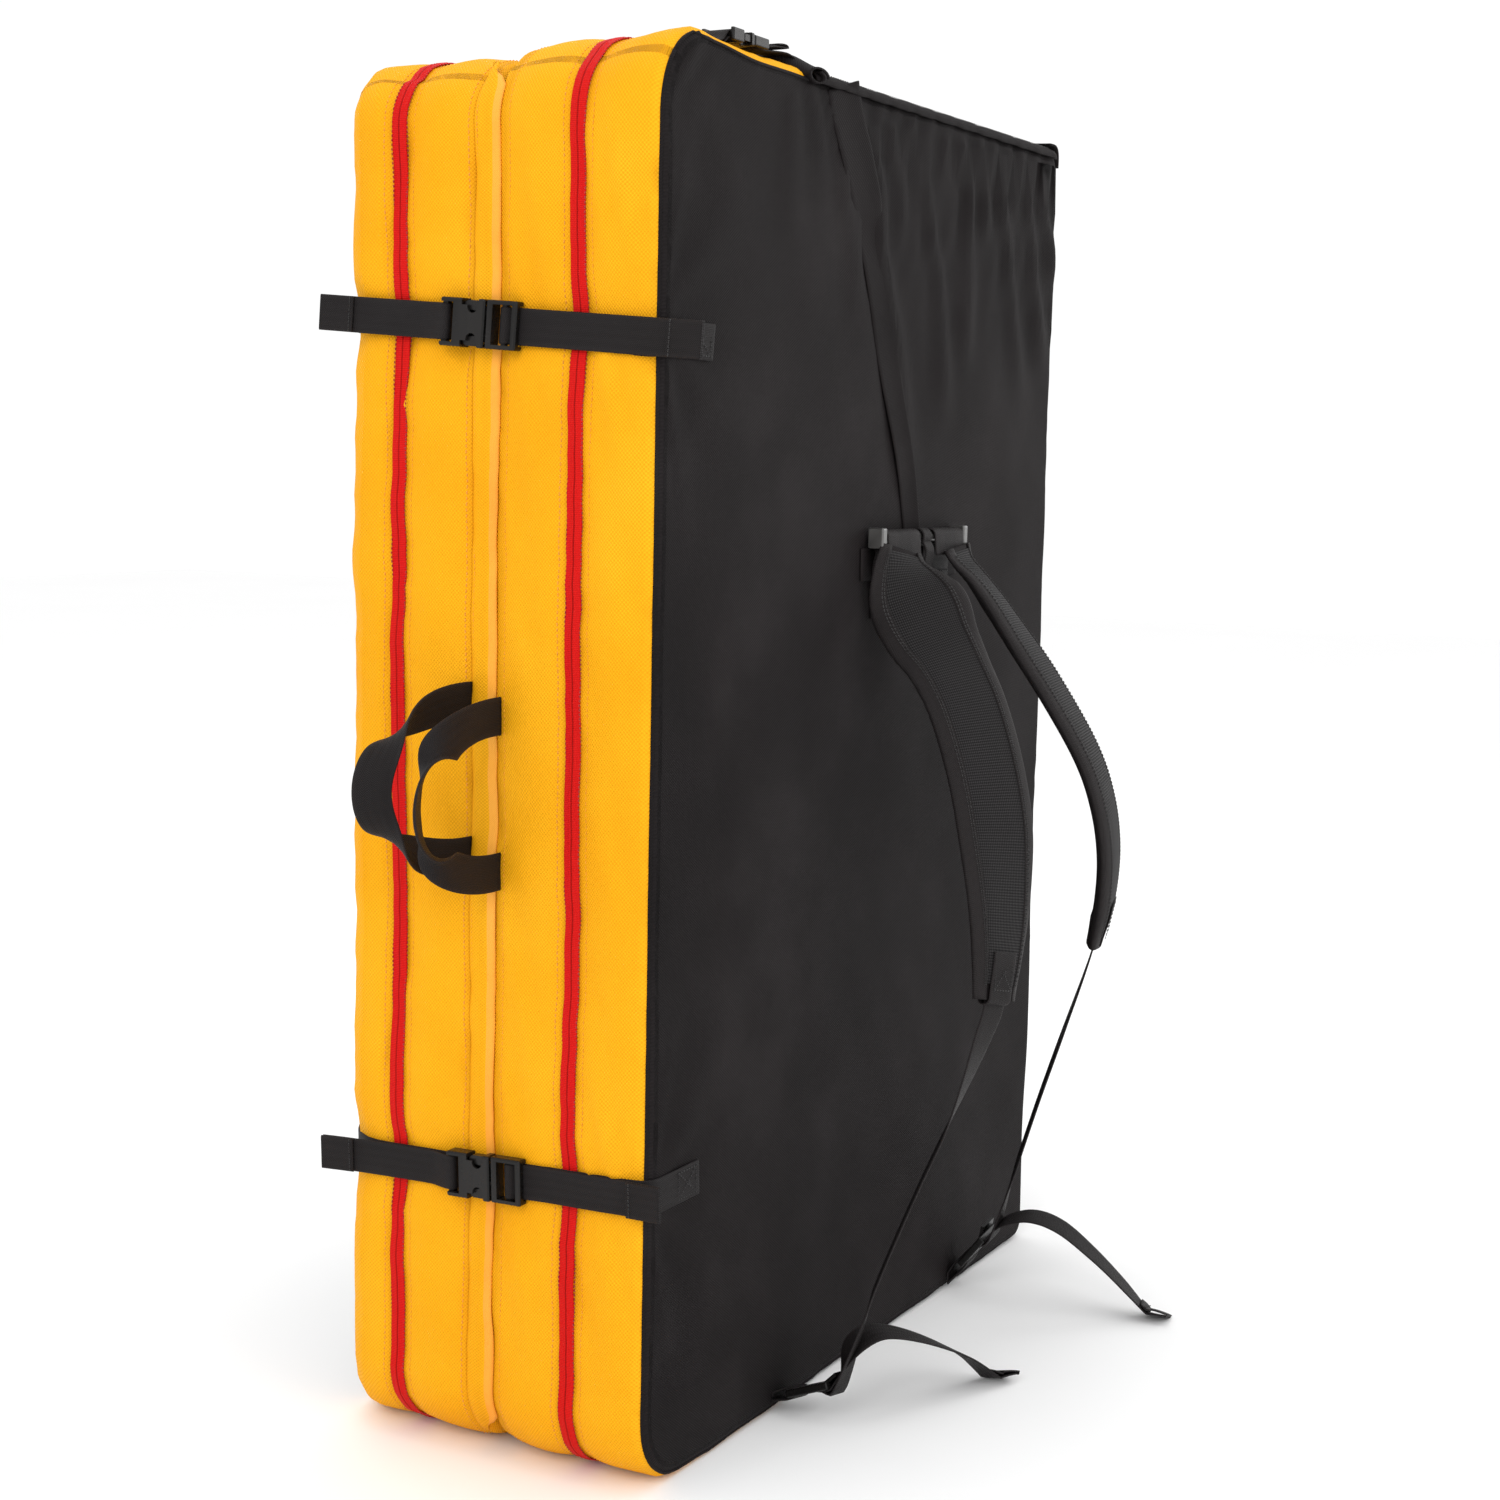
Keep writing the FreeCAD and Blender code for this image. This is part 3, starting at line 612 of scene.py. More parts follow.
# Wrinkles of the strap face: ridge points (x, z), half width, height.
WRINKLES = [
    ([(-66, 982), (-27, 935), (-23, 880), (14, 800), (40, 700), (54, 672)], 9, 3.0),
    ([(-113, 996), (-84, 930), (-63, 860), (-47, 820)], 8, 1.9),
    ([(-12, 985), (6, 945), (12, 895)], 6, 1.8),
    ([(56, 975), (64, 915), (88, 850), (104, 730)], 8, 2.4),
    ([(112, 990), (136, 955), (141, 905), (138, 835), (134, 780)], 8, 2.8),
    ([(158, 990), (172, 935), (178, 900)], 6, 1.8),
    ([(190, 982), (210, 940), (230, 870), (252, 810), (262, 770)], 8, 2.8),
    ([(220, 992), (238, 965), (246, 935)], 5, 1.6),
    ([(248, 988), (268, 945), (286, 875), (306, 828), (312, 790)], 7, 2.6),
    ([(284, 984), (312, 930), (328, 900), (332, 870)], 6, 2.2),
    ([(-142, 996), (-120, 958), (-120, 925)], 7, 1.4),
    ([(-165, 985), (-164, 920), (-158, 870)], 10, 1.2),
    ([(-88, 985), (-60, 935), (-48, 900)], 6, 1.2),
    ([(30, 990), (40, 960), (44, 930)], 5, 1.4),
    ([(86, 988), (96, 965), (104, 925)], 5, 1.2),
]


def near_line(x, z, line):
    # Distance to a polyline and how far along it, 0 to 1.
    best, along = np.full(len(x), 1e9), np.zeros(len(x))
    pts = curve_points(np.array(line, float), 12.0)
    total = len(pts) - 1
    for i in range(total):
        a, d = pts[i], pts[i + 1] - pts[i]
        t = np.clip(((x - a[0]) * d[0] + (z - a[1]) * d[1]) / (d @ d), 0, 1)
        away = np.hypot(x - a[0] - t * d[0], z - a[1] - t * d[1])
        closer = away < best
        best = np.where(closer, away, best)
        along = np.where(closer, (i + t) / total, along)
    return best, along


def face_relief(x, z, name):
    # Height of a ground face over its flat plane, in mm outwards.
    p = np.stack([x, z], 1)
    h = 1.1 * waves(p, 230.0, 3 if name == "carry" else 4) + 0.35 * waves(p, 80.0, 5 if name == "carry" else 6)
    edge = np.minimum.reduce([x - OPEN_X, SPINE_X - x, z, HEIGHT - z])
    if name == "carry":
        # The load on the anchor bar pulls the fabric into folds below the top edge.
        for line, width, height in WRINKLES:
            away, along = near_line(x, z, line)
            fade = smooth(-0.02, 0.10, along) * (1 - smooth(0.72, 1.0, along))
            wide = width * (0.8 + 1.1 * along)
            ridge = np.exp(-(away / wide) ** 2) - 0.55 * np.exp(-((away - 1.9 * wide) / (1.1 * wide)) ** 2)
            h += height * ridge * fade
        top = smooth(780, 990, z) * smooth(-150, -20, x)
        h += 0.9 * top * np.sin(TAU * (x + 0.32 * (HEIGHT - z)) / 31.0 + 1.3 * waves(p, 120.0, 8))
        # Puckers fanning from the ends of the closure straps.
        for mid in (UPPER_Z, LOWER_Z):
            dx, dz = x - OPEN_X, z - mid
            r = np.hypot(dx, dz)
            angle = np.arctan2(dz, dx)
            fan = np.sin(9.0 * angle + 1.1) * np.exp(-((r - 70) / 55.0) ** 2)
            h += 1.0 * fan * (np.abs(angle) < 1.35)
        # A pinched corner beside the top of the opening side.
        r = np.hypot(x + 310, z - 985)
        h += 1.6 * np.exp(-(r / 26) ** 2) * np.sin(TAU * (x - z) / 34.0)
        # Calm under the anchor and its patch.
        calm = bump(x, 42.0, 130.0) * bump(z, 650.0, 60.0)
        h *= 1.0 - 0.85 * calm
        h -= 2.2 * np.exp(-(np.hypot((x - 45) / 130, (z - 655) / 50)) ** 2)
    h += 2.4 * smooth(0, 120, edge) - 1.2
    return h


def band_relief(s, d, z, nx, name):
    # Height of the side band over its flat plane. s runs round the outline, d from the ground face.
    opening = smooth(0.5, 1.0, -nx)
    free = 1.0 - opening * (1.0 - strap_mask(z))
    p = np.stack([s, d], 1)
    low, high = (8.0, ZIP_LOW - 2.0), (ZIP_HIGH + 2.0, 124.0)
    h = np.zeros(len(s))
    for a, b in (low, high):
        q = np.clip((d - a) / (b - a), 0, 1)
        h += (2.6 * opening + 1.4) * np.sin(math.pi * q) ** 0.9 * ((d > a) & (d < b))
    h *= 0.25 + 0.75 * free
    h += 3.2 * opening * free * np.sin(math.pi * np.clip(d / THICK, 0, 1)) * (1 + 0.5 * waves(p, 320.0, 11))
    h += (0.9 * waves(p, 95.0, 12 if name == "carry" else 13) + 0.4 * waves(p, 40.0, 14)) * (0.4 + 0.6 * free)
    h -= 1.4 * opening * (1 - free)
    # Short puckers drawn in by the stitching.
    for seam, reach, depth in ((ZIP_LOW - 2, 15.0, 0.85), (ZIP_HIGH + 2, 15.0, 0.85), (LAND_SEAM, 13.0, 0.7),
                               (6.0, 16.0, 0.9)):
        near = np.exp(-np.abs(d - seam) / reach)
        wave = waves(np.stack([s, d * 0.2], 1), 26.0, int(seam) + (20 if name == "carry" else 60))
        h += depth * near * wave
        h -= 1.1 * np.exp(-((d - seam) / 2.2) ** 2)
    # Longer creases, on the plain half mirrored in depth, and with a hollow beside each on the carry half.
    for cd, cz, run, width, depth in CREASES:
        if name == "carry":
            off, fade = d - cd - (z - cz) * 0.22, bump(z, cz, run)
            h -= 1.1 * depth * np.exp(-((off - 1.9 * width) / width) ** 2) * fade * opening
        else:
            off, fade = THICK - d - cd * 0.8 - (z - cz) * -0.18, bump(z, cz + 21, run)
        h += 1.7 * depth * np.exp(-(off / width) ** 2) * fade * opening
    return h


def top_lift(name, x, z, depth):
    # The load side's top corner stands proud beside the flap's buckle; the other half slumps a little.
    if name == "carry":
        return 6.0 * bump(x, -300, 90) * smooth(930, 1000, z) * (1 - smooth(10, 56, depth))
    return -6.5 * smooth(900, 1000, z) * np.clip(1.2 - (x - OPEN_X) / 500.0, 0.3, 1.0)


def ground_radius(carry):
    # Round-over at the ground edge: small, but wide at the plain half's opening side.
    return np.full(COLS, 11.0) if carry else 12.0 + 36.0 * np.clip(-RING_N[:, 0], 0, 1) ** 1.5


BELOW_ZIP, LAST_BELOW = 7, 54.0          # rings from the round-over to the zip, and the last one's depth
ZIP_DEPTHS = [ZIP_LOW - 1.0, ZIP_LOW, ZIP_MID - 3.0, ZIP_MID, ZIP_MID + 3.0, ZIP_HIGH, ZIP_HIGH + 1.0]
INNER_DEPTHS = [74.0, 80.0, 87.0, 94.0, 101.0, 108.0, 115.0, 120.0, 124.0, LAND_SEAM]
FIRST_ZIP = len(GROUND_ARC) - 1 + BELOW_ZIP
FACE, BAND, LAND = 0, 1, 2               # kinds of points
GROUND_PANEL, YELLOW_BAND, BACK_BAND, LANDING_PANEL, ZIP_BED = range(5)    # zones of faces
RIM_FADE = 9.0                           # depth over which the face's relief fades into the band's


def ring_rows(radius):
    # (inset, depth from the ground face) of each ring of points down the side.
    none = np.zeros(COLS)
    rows = [(radius * (1 - math.sin(a)), radius * (1 - math.cos(a)))
            for a in map(math.radians, GROUND_ARC[1:])]
    rows += [(none, radius + (LAST_BELOW - radius) * k / BELOW_ZIP) for k in range(1, BELOW_ZIP + 1)]
    rows += [(none, np.full(COLS, depth)) for depth in ZIP_DEPTHS + INNER_DEPTHS]
    return rows + [(np.full(COLS, LAND_R * (1 - math.cos(a))), np.full(COLS, LAND_SEAM + LAND_R * math.sin(a)))
                   for a in map(math.radians, (30, 60, 90))]


def pad_half(name):
    carry = name == "carry"
    ground, away = (CARRY_Y, 1.0) if carry else (PLAIN_Y, -1.0)
    radius = ground_radius(carry)
    rows = ring_rows(radius)
    layers = []

    def lay(at, depth, uv_at, kind_of):
        depth = np.broadcast_to(depth, len(at))
        layers.append((np.stack([at[:, 0], ground + away * depth, at[:, 1]], 1), uv_at,
                       np.full(len(at), kind_of), depth))

    front_grid = coons(RING - RING_N * radius[:, None])
    shape = front_grid.shape[:2]
    flat = front_grid.reshape(-1, 2)
    lay(flat, 0.0, flat, FACE)
    for inset, depth in rows:
        lay(RING - RING_N * inset[:, None], depth, np.stack([RING_S, depth + inset * 0.6], 1), BAND)
    inside = np.ones(shape, bool)
    for i, j in RING_IJ:
        inside[i, j] = False
    back_at = np.cumsum(inside.ravel()) - 1
    back = coons(RING - RING_N * LAND_R).reshape(-1, 2)[inside.ravel()]
    lay(back, THICK, back, LAND)
    points, uvs, kinds, depths = zip(*layers)
    base, uv = np.vstack(points), np.vstack(uvs)
    kind, depth_all = np.concatenate(kinds), np.concatenate(depths)

    grid_n = shape[0] * shape[1]
    last_ring = grid_n + (len(rows) - 1) * COLS
    lookup = {ij: c for c, ij in enumerate(RING_IJ)}

    def front_index(i, j):
        return i * shape[1] + j

    def back_index(i, j):
        if inside[i, j]:
            return last_ring + COLS + back_at[i * shape[1] + j]
        return last_ring + lookup[(i, j)]

    faces, zone = [], []
    for i in range(shape[0] - 1):
        for j in range(shape[1] - 1):
            corners = (i, j), (i + 1, j), (i + 1, j + 1), (i, j + 1)
            faces.append(tuple(front_index(*ij) for ij in corners))
            faces.append(tuple(back_index(*ij) for ij in corners)[::-1])
            zone += [GROUND_PANEL, LANDING_PANEL]
    seam_row = np.full(COLS, 1 if carry else 0)
    if carry:
        seam_row[(RING[:, 1] > HEIGHT - 1.0) & (RING[:, 0] < COLOUR_X)] = 0
    for r in range(-1, len(rows) - 1):
        for c in range(COLS):
            n = (c + 1) % COLS
            if r < 0:
                a, b = front_index(*RING_IJ[c]), front_index(*RING_IJ[n])
            else:
                a, b = grid_n + r * COLS + c, grid_n + r * COLS + n
            e, f = grid_n + (r + 1) * COLS + c, grid_n + (r + 1) * COLS + n
            faces.append((b, a, e, f))
            front = 0.5 * (RING[c, 0] + RING[n, 0]) < COLOUR_X
            if r < seam_row[c]:
                zone.append(GROUND_PANEL)
            elif front and FIRST_ZIP + 1 <= r < FIRST_ZIP + 5:
                zone.append(ZIP_BED)
            else:
                zone.append(YELLOW_BAND if front else BACK_BAND)
    faces = np.array(faces)
    if not carry:
        faces = faces[:, ::-1]

    # Relief, along the smooth surface's normals.
    normal = surface_normals(base, faces)
    if (normal * (base - base.mean(0))).sum() < 0:
        normal = -normal
        faces = faces[:, ::-1]
    x, z = base[:, 0], base[:, 2]
    face, band, land = kind == FACE, kind == BAND, kind == LAND
    relief_mm = np.zeros(len(base))
    relief_mm[face] = face_relief(x[face], z[face], name)
    relief_mm[band] = band_relief(np.tile(RING_S, len(rows)), depth_all[band], z[band],
                                  np.tile(RING_N[:, 0], len(rows)), name)
    arc = band & (depth_all < RIM_FADE)
    share = smooth(0.0, RIM_FADE, depth_all[arc])
    relief_mm[arc] = face_relief(x[arc], z[arc], name) * (1 - share) + relief_mm[arc] * share
    relief_mm[land] = -0.6 + 0.4 * waves(base[land][:, [0, 2]], 160.0, 31)
    moved = base + normal * relief_mm[:, None]
    moved[:, 2] += top_lift(name, x, z, depth_all)
    moved[:, 2] = np.where(z < 1.0, np.maximum(moved[:, 2], 0.2), moved[:, 2])
    return {"name": name, "verts": moved, "faces": faces, "zone": np.array(zone), "uv": uv, "grid_n": grid_n,
            "rows": len(rows), "relief": relief_mm, "depth": depth_all, "kind": kind, "seam_row": seam_row}


def surface_normals(verts, faces):
    a, b, c, d = (verts[faces[:, k]] for k in range(4))
    face_n = np.cross(c - a, d - b)
    total = np.zeros_like(verts)
    for k in range(4):
        np.add.at(total, faces[:, k], face_n)
    return unit(total)


def attribute(obj, name, values):
    obj.data.attributes.new(name, "FLOAT", "POINT").data.foreach_set("value", np.asarray(values, np.float32))


def pad_panels(pad):
    name = pad["name"]
    pad["surface_n"] = surface_normals(pad["verts"], pad["faces"])
    verts, faces, band = pad["verts"], pad["faces"], pad["kind"] == BAND
    # Painted shade: hollows of the relief and the seam grooves are darker. The ring round the ground edge is
    # paler.
    hollow = np.clip(-pad["relief"] / 4.0, 0, 1) * 0.45
    seam_dark, pale_rim = np.zeros(len(verts)), np.zeros(len(verts))
    for seam in (ZIP_LOW - 0.5, ZIP_HIGH + 0.5, LAND_SEAM):
        seam_dark[band] += np.exp(-((pad["depth"][band] - seam) / 2.5) ** 2) * 0.30
    start = pad["grid_n"] + int(pad["seam_row"].max()) * COLS
    pale_rim[start - COLS:start + 2 * COLS] = 0.35
    specs = [("ground_cover", [GROUND_PANEL], BLACK, "black_fabric", ["ground_panel"]),
             ("side_bands", [YELLOW_BAND, ZIP_BED], YELLOW, "yellow_fabric", ["outer_band", "inner_band"]),
             ("back_cover", [BACK_BAND], BLACK, "black_fabric", ["back_band"]),
             ("landing_cover", [LANDING_PANEL], LANDING, "landing_fabric", ["landing_panel"])]
    for label, zones, material, slot, replaced in specs:
        chosen = faces[np.isin(pad["zone"], zones)]
        used, packed = np.unique(chosen, return_inverse=True)
        obj = make(f"{name}_{label}", verts[used], packed.reshape(chosen.shape), material, pad["uv"][used])
        attribute(obj, "shade", np.clip(hollow + seam_dark, 0, 0.6)[used])
        attribute(obj, "pale_rim", pale_rim[used])
        place(obj, f"{name}_half", slot, *(f"{name}_{node_name}" for node_name in replaced))


pads = {name: pad_half(name) for name in ("carry", "plain")}
for pad in pads.values():
    pad_panels(pad)


# ---- foam inside the covers --------------------------------------------------------------------

def foam_layer(pad, label, d0, d1, material, slot):
    # A closed block between two depths, rounded like the cover and a little smaller.
    carry = pad["name"] == "carry"
    ground, away = (CARRY_Y, 1.0) if carry else (PLAIN_Y, -1.0)
    radius = ground_radius(carry)
    cols = np.arange(0, COLS, 3)
    rings, uv = [], []
    for depth, extra in ((d0, 2.0), (d0 + 0.8, 0.6), (d0 + 2.5, 0.0), ((d0 + d1) / 2, 0.0), (d1 - 2.5, 0.0),
                         (d1 - 0.8, 0.6), (d1, 2.0)):
        rounding = radius - np.sqrt(np.maximum(radius ** 2 - (radius - depth) ** 2, 0))
        inset = np.where(depth < radius, rounding, 0) + 5.5 + extra + max(0.0, depth - 120.0) * 0.35
        at = (RING - RING_N * inset[:, None])[cols]
        sunk = np.minimum(top_lift(pad["name"], at[:, 0], at[:, 1], depth), 0.0)
        rings.append(np.stack([at[:, 0], np.full(len(cols), ground + away * depth), at[:, 1] + sunk], 1))
        uv.append(np.stack([RING_S[cols], np.full(len(cols), depth)], 1))
    faces = tube_faces(len(rings), len(cols))
    if carry:
        faces = [f[::-1] for f in faces]
    obj = make(f"{pad['name']}_{label}_block", np.vstack(rings), faces, material, np.vstack(uv))
    place(obj, pad["name"] + "_half", slot, f"{pad['name']}_{label}")


for pad in pads.values():
    foam_layer(pad, "ground_foam", 4.5, 22.0, CLOSED_FOAM, "closed_cell_foam")
    foam_layer(pad, "core_foam", 22.3, 112.0, OPEN_FOAM, "open_cell_foam")
    foam_layer(pad, "landing_foam", 112.3, 130.5, CLOSED_FOAM, "closed_cell_foam")


# ---- zips, seams and stitching -----------------------------------------------------------------
BOTTOM_START = int(np.argmax((RING[:, 1] < 1.0) & (RING[:, 0] <= COLOUR_X + 1.0)))
TOP_END = int(np.where((RING[:, 1] > HEIGHT - 1.0) & (RING[:, 0] <= COLOUR_X + 1.0))[0].max())
FRONT = np.concatenate([np.arange(BOTTOM_START, COLS), np.arange(0, TOP_END + 1)])
ALL_ROUND = np.concatenate([np.arange(COLS), [0]])


def on_surface(pad, depth, cols, lift):
    # A line round the cover at a given depth from the ground face, raised off it.
    start, rows = pad["grid_n"], pad["rows"]
    v, n, d = (pad[key][start:start + rows * COLS].reshape(rows, COLS, -1)
               for key in ("verts", "surface_n", "depth"))
    path, normal = (np.array([[np.interp(depth, d[:, c, 0], field[:, c, axis]) for axis in range(3)]
                              for c in cols]) for field in (v, n))
    normal = unit(normal)
    return path + normal * lift, normal


# Tape raised over the coil on both sides of the middle: x and height of one side.
ZIP_HALF = [(0.45, 0.62), (1.1, 0.85), (1.9, 0.72), (2.6, 0.40), (4.2, 0.42), (5.6, 0.38), (6.0, 0.15),
            (6.0, -0.5)]
ZIP_SECTION = np.array([(-x, y) for x, y in ZIP_HALF[::-1]] + [(0.0, -0.05)] + ZIP_HALF + [(0.0, -0.7)])


def zip_and_seams(pad):
    name = pad["name"]
    body = name + "_half"
    path, normal = on_surface(pad, ZIP_MID, FRONT, 0.75)
    tape = sweep(name + "_zip_tape", path, arr(0, 1, 0), ZIP_SECTION, ZIP, normal=normal)
    place(tape, body, "red_zip", name + "_zip")
    red = [stitches("s", *on_surface(pad, depth, FRONT, 1.25), RED_YARN, *ZIP_STITCH)
           for depth in (ZIP_LOW + 0.3, ZIP_HIGH - 0.3)]
    yellow = [stitches("s", *on_surface(pad, depth, FRONT, 0.15), YELLOW_YARN, *BAND_STITCH)
              for depth in (52.0, 76.0, 121.0)]
    place(join(name + "_zip_stitches", red), body, "red_zip")
    place(join(name + "_band_stitches", yellow), body, "yellow_fabric")
    # The turned seam where the ground panel meets the band: a small roll all round.
    at = (pad["grid_n"] + pad["seam_row"] * COLS + np.arange(COLS))[ALL_ROUND]
    line, nrm = pad["verts"][at], pad["surface_n"][at]
    roll = np.array([(math.cos(a) * 1.35, math.sin(a) * 1.0) for a in np.linspace(0, TAU, 9)[:-1]])
    across = unit(np.cross(nrm, tangents(line)))
    seam = sweep(name + "_ground_seam", line + nrm * 0.1, across, roll, BLACK, normal=nrm)
    place(seam, body, "black_fabric")


for pad in pads.values():
    zip_and_seams(pad)


def front_x(pad, depth, z):
    # x of the opening side's surface at a depth and height.
    cols = np.where(RING_N[:, 0] < -0.6)[0]
    line = on_surface(pad, depth, cols, 0.0)[0]
    order = np.argsort(line[:, 2])
    return np.interp(z, line[order, 2], line[order, 0])


# ---- strip that covers the gap between the halves ------------------------------------------------

def gap_strip():
    low, high = 13.0, 987.0
    z = np.linspace(low, high, 164)
    plain_x, carry_x = front_x(pads["plain"], LAND_SEAM, z), front_x(pads["carry"], LAND_SEAM, z)
    mid_x = np.minimum(plain_x, carry_x)
    sewn_y, facing_from = 83.5, 4          # the last cells are the paler facing
    shape = [(sewn_y, plain_x - 0.9), (81.5, plain_x - 1.9), (77.0, mid_x - 2.6), (71.5, mid_x - 2.4),
             (67.5, mid_x - 1.6), (64.0, carry_x - 1.2), (61.0, carry_x - 0.9)]
    wobble = waves(np.stack([z, z * 0], 1), 120.0, 41) * 1.1
    verts, uv = [], []
    for k in range(len(z)):
        tuck = 1.0 - smooth(0.0, 18.0, min(z[k] - low, high - z[k]))
        for m, (y, x) in enumerate(shape):
            share = m / (len(shape) - 1)
            y_at = y + tuck * share * (sewn_y - y) * 0.85
            verts.append((x[k] + 0.4 * wobble[k] * math.sin(math.pi * share), y_at + 0.8 * wobble[k] * share,
                          z[k]))
            uv.append((y_at, z[k]))
    n = len(shape)
    slots = [int(m >= facing_from) for m in range(n - 1)] * (len(z) - 1)
    obj = make("gap_strip", verts, grid_faces(len(z), n), [YELLOW, BINDING], uv, slots)
    # Painted shade across the strip: darkest at the sewn edge, fainter at the middle fold and the far edge.
    attribute(obj, "shade", np.tile([0.30, 0.0, 0.0, 0.12, 0.0, 0.0, 0.05], len(z)))
    modifier(obj, "SOLIDIFY", thickness=0.9 * MM, offset=-1.0)
    place(obj, "plain_half", "yellow_fabric")
    line = np.stack([plain_x - 2.1, np.full(len(z), 80.2), z], 1)
    row = stitches("gap_strip_stitches", line, (-1, 0, 0), YELLOW_YARN, *BAND_STITCH)
    place(row, "plain_half", "yellow_fabric")


gap_strip()


# ---- cloth hinge on the fold line ----------------------------------------------------------------

def hinge_strip():
    z = np.linspace(26.0, 974.0, 120)
    # x and y from one side to the fold; the other side mirrors it.
    rise = [(336.6, 40.0), (338.4, 36.0), (338.6, 24.0), (338.6, 14.0), (340.2, 7.0), (343.6, 2.0)]
    shape = [(x, FOLD_Y - off) for x, off in rise] + [(345.2, FOLD_Y)]
    shape += [(x, FOLD_Y + off) for x, off in rise[::-1]]
    soft = curve_points([(a, b, 0.0) for a, b in shape], 3.0)[:, :2]
    n = len(soft)
    swell = [0.5 * math.sin(math.pi * m / (n - 1)) for m in range(n)]
    verts = [(x + math.sin(zk * 0.11) * swell[m], y, zk) for zk in z for m, (x, y) in enumerate(soft)]
    obj = make("hinge_strip", verts, grid_faces(len(z), n, flip=True), BLACK, [v[1:] for v in verts])
    modifier(obj, "SOLIDIFY", thickness=1.2 * MM, offset=-1.0)
    place_across(obj, "black_fabric", "carry_half", "plain_half", (340, 62, 500), (340, 78, 500), "fold_welt")
    for body, y in (("carry_half", 33.5), ("plain_half", 106.5)):
        line = np.array([(339.1, y, zk) for zk in z])
        place(stitches(f"hinge_stitches_{body[:5]}", line, (1, 0, 0), BLACK_YARN, *HINGE_STITCH), body,
              "black_fabric")


hinge_strip()


# ---- closure straps --------------------------------------------------------------------------------
FLAT_WEB = webbing_section(WEB, 1.8)


def box_stitch(name, centre, across, along, wide, long, lift_dir):
    # A stitched square with its diagonals.
    c, a, b = arr(*centre), unit(across) * (wide / 2), unit(along) * (long / 2)
    corners = [c - a - b, c + a - b, c + a + b, c - a + b]
    made = []
    for i, j in ((0, 1), (1, 2), (2, 3), (3, 0), (0, 2), (1, 3)):
        line = np.array([corners[i] + (corners[j] - corners[i]) * t for t in np.linspace(0, 1, 12)])
        made.append(stitches("s", line, unit(lift_dir), BLACK_YARN, *BOX_STITCH))
    return join(name, made)


def cross_row(name, centre, side, reach, normal, count=12):
    # A row of stitches across a band's end.
    line = np.array([centre + side * v for v in np.linspace(-reach, reach, count)])
    return stitches(name, line, normal, BLACK_YARN, *HEM_STITCH)


def closure(name, mid_z, tilt_deg, socket_y, tail_reach, dip):
    # Paths are in t, towards the carry half from the buckle's middle, and n, away from the band.
    tilt = math.radians(tilt_deg)
    t_dir = arr(0, -math.cos(tilt), -math.sin(tilt))
    s_dir = arr(0, -math.sin(tilt), math.cos(tilt))
    origin = arr(OPEN_X - 7.0, socket_y, mid_z + (socket_y - FOLD_Y) * math.tan(tilt))

    def put(t, n):
        return origin + t_dir * t + arr(-1, 0, 0) * n

    def hem(half, points, row_t, row_n):
        path = soft_path([put(*q) for q in points], 2, 1.6)
        place(sweep(f"{name}_{half}_hem", path, s_dir, FLAT_WEB, WEBBING), f"{half}_half", "webbing")
        row = cross_row(f"{name}_{half}_hem_stitch", put(row_t, row_n), s_dir, 11, arr(-1, 0, 0))
        place(row, f"{half}_half", "webbing")

    # Plain side: sewn at the outer edge, round the socket's bar, back out as a free tail.
    out_t = -(PLAIN_Y + 1.0 - socket_y)
    over = [(-18, -3.0), (-34, -2.8), (-60, -2.6), (out_t + 34, -1.8), (out_t + 14, -0.6), (out_t, 1.0)]
    edge = [(-(y - socket_y), n) for y, n in ((203.0, -34.0), (196.0, -24.0), (185.0, -14.5), (172.0, -8.0),
                                              (158.0, -5.4))]
    bar = [(-9, -5.5), (-1, -3.4), (4.4, -3.2), (5.0, 0.0), (4.0, 3.1), (-1, 3.0), (-9, 0.6)]
    path = soft_path([put(*q) for q in edge + bar + over], 3, 1.6)
    strap = sweep(f"{name}_plain_strap", path, s_dir, FLAT_WEB, WEBBING)
    place(strap, "plain_half", "webbing", f"{name}_plain_webbing")
    hem("plain", [(out_t + 27, 0.4), (out_t + 14, 1.4), (out_t - 0.3, 3.0)], out_t + 24.5, 2.1)

    # Carry side: sewn round the corner onto the strap face, out round the plug's bar, free tail.
    edge_t = socket_y - CARRY_Y
    end = edge_t + tail_reach
    over = [(57.5, -1.2), (64, -1.6), (80, -2.9), (edge_t * 0.62 + 20, -2.8 + dip), (edge_t - 20, -2.6),
            (edge_t - 6, -1.6), (edge_t + tail_reach * 0.5, -0.6), (end, 0.4)]
    bar = [(66, -5.6), (58, -5.4), (50.6, -4.4), (48.8, -2.6), (48.6, 0.0), (49.2, 2.6), (53.4, 2.7),
           (55.5, 0.2)]
    face_y = CARRY_Y - 1.3
    z_edge = put(edge_t, 0)[2]
    wrap = [arr(x, face_y + off, z_edge) for x, off in ((-276, -0.2), (-300, -0.1), (-326, 0), (-334.5, 0.8),
                                                        (-339.5, 5.0), (-341.6, 13.0))]
    path = soft_path(wrap + [put(edge_t - 26.0, -5.6)] + [put(*q) for q in bar + over], 3, 1.6)
    strap = sweep(f"{name}_carry_strap", path, s_dir, FLAT_WEB, WEBBING)
    place(strap, "carry_half", "webbing", f"{name}_carry_webbing")
    hem("carry", [(end - 27, 1.2), (end - 12, 1.7), (end + 0.2, 2.4)], end - 24.5, 2.4)
    sewn = box_stitch(f"{name}_face_stitch", (-292.0, face_y - 1.2, z_edge), (0, 0, 1), (1, 0, 0), 19.0, 24.0,
                      (0, -1, 0))
    place(sewn, "carry_half", "webbing")


closure("upper_closure", UPPER_Z, 4.0, FOLD_Y + 33.0, 36.0, 0.0)
closure("lower_closure", LOWER_Z, -1.9, FOLD_Y + 24.0, 14.0, 1.0)


# ---- carry handles ---------------------------------------------------------------------------------

